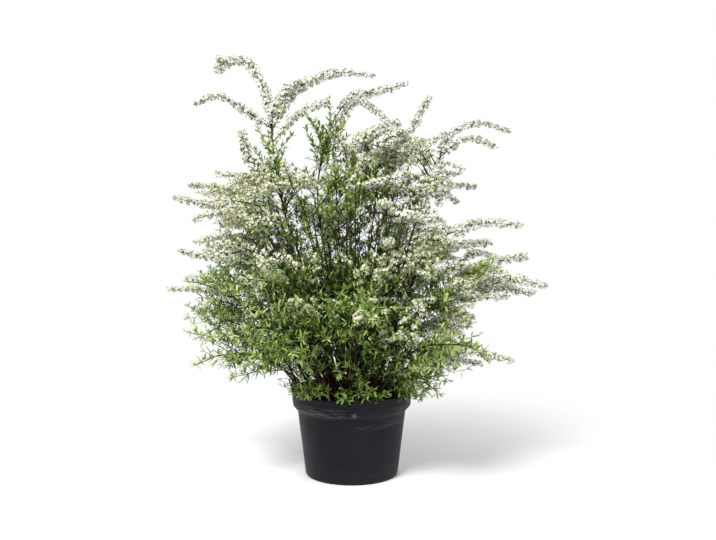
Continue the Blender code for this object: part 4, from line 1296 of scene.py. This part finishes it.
def make_pot_finish(weathering):
    """Charcoal nursery plastic: even and satin, a little dusty, with pale scuffs and painted
    highlight that run round the lower part of the rim band and faint rubbed lines under it."""
    nodes = Shading(bpy.data.materials.new("pot_plastic_charcoal"))
    place = nodes.add("TexCoord", output="Object")
    parts = nodes.add("SeparateXYZ", {"Vector": place}).node.outputs
    read = nodes.grouped(weathering, {"Vector": place, "Blotch Scale": 14.0,
                                      "Grain Scale": 260.0})
    base = nodes.ramp(read["Blotch"], (0.30, (0.0064, 0.0062, 0.0092)),
                      (0.70, (0.0098, 0.0096, 0.0144)))
    drawn = nodes.add("Mapping", {"Vector": place, "Scale": (1.0, 1.0, 18.0)})
    streak = nodes.add("TexNoise", {"Vector": drawn, "Scale": 16.0, "Detail": 7.0,
                                    "Roughness": 0.7})
    streaks = nodes.ramp(streak, (0.49, 0.0), (0.60, 1.0))
    # the pale streaks round the band are scuffs and painted highlight, heaviest at its left and right
    up_band = nodes.share(parts["Z"], BAND_FOOT - 0.010, POT_HEIGHT - 0.006)
    band = nodes.ramp(up_band, (0.0, 0.0), (0.10, 1.0), (0.50, 0.75), (0.72, 0.0))
    sidewise = nodes.share(parts["X"], -RIM_RADIUS, RIM_RADIUS)
    where = nodes.ramp(sidewise, (0.0, 0.9), (0.35, 0.8), (0.50, 0.15), (0.75, 0.10),
                       (1.0, 0.5))
    scuff_and_highlight = nodes.maths("MULTIPLY", nodes.maths("MULTIPLY", band, where), streaks)
    pale = (0.185, 0.185, 0.200)
    colour = nodes.mixed(scuff_and_highlight, base, pale)
    # faint rubbed lines on the right, under the band
    under = nodes.ramp(nodes.share(parts["Z"], NECK - 0.026, NECK), (0.0, 0.0),
                       (0.35, 0.16), (0.75, 0.12), (1.0, 0.0))
    rubbed = nodes.maths("MULTIPLY", under, nodes.ramp(sidewise, (0.44, 0.0), (0.56, 1.0)))
    colour = nodes.mixed(nodes.maths("MULTIPLY", rubbed, streaks), colour, pale)
    # a painted highlight: a pale ring round the moulding nub on the band's foot
    far = nodes.add("VectorMath", {0: place, 1: NUB}, "Value", operation="DISTANCE")
    near = nodes.ramp(far, (0.0, 0.20), (0.0024, 0.25), (0.0036, 0.90), (0.0048, 0.0))
    near = nodes.maths("MULTIPLY", near, read["Grain"])
    colour = nodes.mixed(near, colour, (0.24, 0.24, 0.26))
    # dust on the lowest 50 mm
    dust = nodes.ramp(nodes.share(parts["Z"], 0.0, 0.05), (0.0, 0.30), (1.0, 0.0))
    speck = nodes.ramp(read["Grain"], (0.50, 0.0), (0.68, 1.0))
    colour = nodes.mixed(nodes.maths("MULTIPLY", dust, speck), colour, (0.120, 0.110, 0.100))
    worn = nodes.maths("MULTIPLY_ADD", scuff_and_highlight, 0.20, 0.0)
    plain = nodes.ramp(read["Blotch"], (0.3, 0.44), (0.7, 0.56))
    return nodes.finished(colour, nodes.maths("ADD", plain, worn), 0.12,
                          Normal=nodes.raised(read["Grain"], 0.10, 0.0005))


# ---- pot, soil and crown -------------------------------------------------------------------
def turned_mesh(profile, sides, shift):
    """Surface of revolution about Z, closed at both ends on the axis.

    Point = (radius cos a, radius sin a, height) for each profile point and angle; the shift
    moves the grid of points before it is closed.
    """
    radius, height = profile.T[:, :, None]
    grid = round_axis(np.arange(sides) * math.tau / sides, radius[1:-1], height[1:-1])
    grid = grid + shift(grid)
    points = np.vstack((grid.reshape(-1, 3), UP * height[0], UP * height[-1]))
    return points, outward_faces(points, wall_faces(len(grid), sides))


def filled_profile(corners, spacing):
    """The profile with extra points, so that none are further apart than the spacing."""
    made = [np.array(corners[:1])]
    for start, end in zip(np.array(corners), np.array(corners[1:])):
        steps = max(1, int(math.ceil(math.dist(start, end) / spacing)))
        made.append(start + (end - start) * np.arange(1, steps + 1)[:, None] / steps)
    return np.vstack(made)


def make_pot(finish):
    """Thin shell with a rounded lip, a sloping rim band that steps in to the body, a small
    moulding nub in front and drain holes round the base."""
    inside = [(0.0, FLOOR), (FOOT_RADIUS - 0.008, FLOOR), (FOOT_RADIUS - WALL - 0.001, 0.006),
              (FOOT_RADIUS - WALL, 0.009), (NECK_RADIUS - WALL, NECK + 0.0008),
              (BAND_FOOT_RADIUS - WALL, BAND_FOOT + 0.0012),
              (RIM_RADIUS - WALL - 0.0002, POT_HEIGHT - 0.003),
              (RIM_RADIUS - WALL, POT_HEIGHT - 0.0008)]
    lip = [(RIM_RADIUS - WALL * 0.75, POT_HEIGHT - 0.0001),
           (RIM_RADIUS - WALL * 0.25, POT_HEIGHT - 0.0001),
           (RIM_RADIUS, POT_HEIGHT - 0.0010), (RIM_RADIUS, POT_HEIGHT - 0.0042),
           (RIM_RADIUS - 0.0011, POT_HEIGHT - 0.0056)]
    outside = [(BAND_FOOT_RADIUS + 0.0004, BAND_FOOT + 0.0014),
               (BAND_FOOT_RADIUS, BAND_FOOT + 0.0002),
               (BAND_FOOT_RADIUS - 0.0008, BAND_FOOT - 0.0008),
               (NECK_RADIUS + 0.0016, NECK + 0.0022), (NECK_RADIUS + 0.0002, NECK - 0.0006),
               (FOOT_RADIUS + 0.0004, 0.0075), (FOOT_RADIUS - 0.0004, 0.0035),
               (FOOT_RADIUS - 0.0024, 0.0008), (FOOT_RADIUS - 0.005, 0.0),
               (FOOT_RADIUS - 0.008, 0.0), (FOOT_RADIUS - 0.016, BASE_RECESS),
               (0.0, BASE_RECESS)]

    def mould(grid):
        """Moves the wall in and out in slight waves."""
        radius, height = np.hypot(grid[..., 0], grid[..., 1]), grid[..., 2]
        away = grid * (1.0, 1.0, 0.0) / radius[..., None]
        push = 0.00035 * waves(grid, 0.09, 11) * np.clip(height / 0.05, 0.0, 1.0)
        push = push * (radius > FOOT_RADIUS - 0.004) * (height < POT_HEIGHT - 0.008)
        return away * push[..., None]

    profile = filled_profile(inside + lip + outside, 0.011)
    points, faces = turned_mesh(profile, POT_SIDES, mould)
    pot = mesh_piece("nursery_pot", points, faces, finish, "pot_plastic", ("pot",), smooth=True)
    # sloping bars cut the drain holes through the edge of the base
    away = round_axis((np.arange(DRAIN_HOLES) + 0.5) * math.tau / DRAIN_HOLES)
    middle = away * (FOOT_RADIUS - DRAIN_RADIUS * 0.6)
    slope = unit(away - UP) * 0.017
    bars = np.stack((middle - slope, middle + slope), 1)
    points, faces = tube_mesh(bars, np.full((DRAIN_HOLES, 2), DRAIN_RADIUS), 20)
    mesh = bpy.data.meshes.new("drain_cutter")
    mesh.from_pydata(points.tolist(), [], faces.tolist())
    cutter = bpy.data.objects.new("drain_cutter", mesh)
    bpy.context.scene.collection.objects.link(cutter)
    cut = pot.modifiers.new("drain_holes", "BOOLEAN")
    cut.operation, cut.solver, cut.object = "DIFFERENCE", "EXACT", cutter
    graph = bpy.context.evaluated_depsgraph_get()
    opened = bpy.data.meshes.new_from_object(pot.evaluated_get(graph))
    pot.modifiers.clear()
    pot.data = opened
    bpy.data.objects.remove(cutter)
    opened.set_sharp_from_angle(angle=math.radians(38))
    # the moulding nub is a low button on the foot of the band
    depth = np.array((-0.0020, 0.0, 0.0014, 0.0025, 0.0031))
    radii = NUB_RADIUS * np.array((1.0, 1.0, 0.88, 0.62, 0.30))
    points, faces = tube_mesh((NUB + depth[:, None] * (0.0, -1.0, 0.0))[None], radii[None], 16)
    points = NUB + (points - NUB) * (1.05, 1.0, 0.75)
    mesh_piece("moulding_nub", points, faces, finish, "pot_plastic", smooth=True)


def strewn(count, spread, height, sizes, flatten):
    """Irregular eight-sided crumbs all over the soil, out to a share of its width: the six
    points of each lump are pushed in or out, and the lump is stretched and turned."""
    radius = soil_high.x * np.sqrt(chance.random(count)) * spread
    place = round_axis(chance.uniform(0, math.tau, count), radius, height)
    size = chance.uniform(*sizes, count)[:, None, None]
    local = LUMP["points"] * chance.uniform(0.6, 1.15, (count, 6, 1)) * size
    local[..., 2] *= flatten
    axis = unit(scattered(count, 1.0) * (1.0, 1.0, 0.35))
    over = square_to(scattered(count, 0.6) + UP, axis)
    right = np.cross(axis, over)
    points = (place[:, None] + local[..., :1] * 1.5 * axis[:, None]
              + local[..., 1:2] * -right[:, None] + local[..., 2:] * over[:, None])
    faces = LUMP["faces"][None] + (np.arange(count) * 6)[:, None, None]
    return points.reshape(-1, 3), faces.reshape(-1, 3)


def make_soil(finish, chip_finish):
    """Potting soil: an uneven top that sinks at the wall, strewn with crumbs and bark chips."""
    edge, bottom, foot = soil_high.x, soil_low.z, FOOT_RADIUS - WALL - 0.001
    corners = [(0.0, bottom), (foot - 0.006, bottom), (foot, 0.012),
               (NECK_RADIUS - WALL - 0.0006, NECK),
               (edge, SOIL_TOP - 0.003), (edge - 0.012, SOIL_TOP), (0.0, SOIL_TOP)]

    def heap(grid):
        """Raises and lowers the top by two sizes of waves."""
        top = np.clip((grid[..., 2] - SOIL_TOP + 0.004) / 0.003, 0.0, 1.0)
        rise = 0.0016 * waves(grid, 0.030, 7) + 0.0009 * waves(grid, 0.009, 8)
        return (top * rise)[..., None] * UP

    body = turned_mesh(filled_profile(corners, 0.0095), SOIL_SIDES, heap)
    crumbs = strewn(CRUMBS, 0.97, SOIL_TOP - 0.0005, (0.0008, 0.0030), 0.8)
    mesh_piece("potting_soil", *stacked([body, crumbs]), finish, "potting_soil", ("soil",))
    chips = strewn(BARK_CHIPS, 0.93, SOIL_TOP + 0.0012, (0.0025, 0.0060), 0.32)
    mesh_piece("bark_chips", *chips, chip_finish, "crown_bark")


def make_crown(finish):
    """Old wood at the foot: a knobbly stump, cut stubs and a bundle of dead, broken canes."""
    count = CROWN_CANES
    spread = np.sqrt(np.arange(count) / count)
    foot = (round_axis(np.arange(count) * GOLDEN, spread) * (0.030, 0.026, 0.0)
            + (SOIL_TOP - 0.008) * UP)
    leaving = unit(foot * (9.0, 9.0, 0.0) + (-0.10, -0.05, 1.0) + scattered(count, 0.22))
    length = chance.uniform(0.018, 0.085, count) * (1.15 - 0.4 * spread)
    broken = bent_routes(foot, leaving, scattered(count, 0.18), length, 10)
    radii = chance.uniform(0.0018, 0.0042, count)[:, None] * np.linspace(1.15, 0.8, 10)
    radii = radii * (1.0 + 0.16 * waves(broken, 0.008, 21))
    stump = smooth_routes([metres(((0, 0, 150), (1, 0, 172), (-3, 0, 196)))], 14)
    thick = 0.0150 * np.linspace(1.1, 0.55, 14)[None] * (1.0 + 0.12 * waves(stump, 0.010, 22))
    stubs = smooth_routes(metres((((-4, -2, 168), (-10, -6, 200), (-16, -8, 232)),
                                  ((5, 3, 168), (6, 2, 192), (6, 1, 218)),
                                  ((-2, 5, 168), (-5, 10, 190), (-8, 16, 214)))), 14)
    stub_radii = np.array((0.0062, 0.0052, 0.0048))[:, None] * (
        1.0 + 0.10 * waves(stubs, 0.012, 23))
    count = DEAD_TWIGS
    out = round_axis(np.arange(count) * GOLDEN + 0.7)
    foot = out * chance.uniform(0.016, 0.070, (count, 1)) + (SOIL_TOP - 0.006) * UP
    leaving = unit(out * chance.uniform(0.1, 0.8, count)[:, None] + UP + scattered(count, 0.3))
    dry = bent_routes(foot, leaving, scattered(count, 0.3), chance.uniform(0.05, 0.14, count), 8)
    points, faces = stacked([tube_mesh(broken, radii, 8), tube_mesh(stump, thick, 16),
                             tube_mesh(stubs, stub_radii, 12),
                             tube_mesh(dry, tapered(dry, DEAD_RADII), 5)])
    mesh_piece("old_crown", points, faces, finish, "crown_bark", ("crown",), smooth=True)


# ---- the stage -----------------------------------------------------------------------------
def placed(name, data, place, aim=None):
    """Puts a lamp, the camera or the floor into the scene, aimed at a place."""
    made = bpy.data.objects.new(name, data)
    if aim:
        made.location = place
        turn = (Vector(aim) - Vector(place)).to_track_quat("-Z", "Y")
        made.rotation_euler = turn.to_euler()
    bpy.context.scene.collection.objects.link(made)
    return made


def make_stage():
    """Pale floor that fades into a white surround, three soft lamps and the camera."""
    scene = bpy.context.scene
    ring = round_axis(np.arange(FLOOR_SIDES) * math.tau / FLOOR_SIDES, FLOOR_RADIUS)
    mesh = bpy.data.meshes.new("floor")
    mesh.from_pydata(ring.tolist(), [], [list(range(FLOOR_SIDES))])
    nodes = Shading(bpy.data.materials.new("pale_floor"))
    mesh.materials.append(nodes.finished((0.96, 0.96, 0.96), 0.9, 0.1))
    distance = nodes.add("VectorMath", {0: nodes.add("TexCoord", output="Object")}, "Value",
                         operation="LENGTH")
    fade = nodes.share(distance, *FLOOR_FADE, interpolation_type="SMOOTHSTEP")
    mix = nodes.add("MixShader", {"Fac": fade,
                                  1: nodes.tree.nodes["Principled BSDF"].outputs[0],
                                  2: nodes.add("BsdfTransparent")})
    nodes.fill(nodes.tree.nodes["Material Output"], {"Surface": mix})
    placed("floor", mesh, None)

    scene.world = bpy.data.worlds.new("studio")
    nodes = Shading(scene.world)
    white = (1.0, 1.0, 1.0)
    around = nodes.fill(nodes.tree.nodes["Background"],
                        {"Color": white, "Strength": WORLD_LIGHT})
    path = nodes.add("LightPath").node.outputs
    seen = nodes.maths("MAXIMUM", path["Is Camera Ray"], path["Is Glossy Ray"])
    seen = nodes.maths("MAXIMUM", seen, path["Is Transmission Ray"])
    mix = nodes.add("MixShader", {"Fac": seen, 1: around.outputs[0],
                                  2: nodes.add("Background", {"Color": white, "Strength": 1.0})})
    nodes.fill(nodes.tree.nodes["World Output"], {"Surface": mix})

    for name, place, size, power in LAMPS:
        lamp = bpy.data.lights.new(name, "AREA")
        lamp.shape, lamp.size, lamp.energy = "SQUARE", size, power
        placed(name, lamp, place, LAMP_AIM)
    lens = bpy.data.cameras.new("camera")
    lens.lens, lens.sensor_width = LENS, 36.0
    scene.camera = placed("camera", lens, EYE, AIM)
    scene.view_settings.view_transform = "Standard"


# ---- assembly ------------------------------------------------------------------------------
make_stage()
strips, weathering = make_strip_group(), make_weather_group()
bark = make_solid_finish("cane_bark_brown", weathering, (90.0, 700.0),
                         ((0.35, (0.006, 0.003, 0.002)), (0.50, (0.022, 0.009, 0.007)),
                          (0.66, (0.078, 0.034, 0.023))), (0.50, 0.75), 0.35)
crown_bark = make_solid_finish("crown_bark_red_brown", weathering, (120.0, 600.0),
                               ((0.36, (0.060, 0.017, 0.011)), (0.50, (0.215, 0.062, 0.036)),
                                (0.64, (0.370, 0.150, 0.090))), (0.70, 0.95), 0.6)
soil = make_solid_finish("potting_soil_dark", weathering, (150.0, 900.0),
                         ((0.35, (0.006, 0.004, 0.003)), (0.52, (0.020, 0.013, 0.009)),
                          (0.68, (0.055, 0.038, 0.027))), (0.80, 1.0), 0.9)
leaf, blossom = make_leaf_finish(strips), make_flower_finish(strips)
make_pot(make_pot_finish(weathering))
make_soil(soil, crown_bark)
make_crown(crown_bark)

grow_named()
grow_thickets()
grow_inner_canes()
grow_heart()
for owner, name in enumerate(OWNERS):
    fresh_chance(owner, "pieces")
    spray_nodes, shoot_nodes = (
        [f"{node}_{number:02d}" for number, row in enumerate(rows, 1) if row[0] == name]
        for node, rows in (("flower_spray", SPRAYS), ("leafy_shoot", LEAFY_SHOOTS)))
    mesh_piece(f"{name}_wood", *twigs_of(owner), bark, "cane_bark",
               [f"cane_{name}"] if name in CANES else [], smooth=True)
    leaf_parts, flower_parts = leaves_of(owner), florets_of(owner) + buds_of(owner)
    if leaf_parts:
        points, faces, uv = joined(leaf_parts)
        mesh_piece(f"{name}_leaves", points, faces, leaf, "shoot_leaves", shoot_nodes, uv)
    if flower_parts:
        points, faces, uv = joined(flower_parts)
        mesh_piece(f"{name}_blossom", points, faces, blossom, "spray_flowers", spray_nodes, uv)
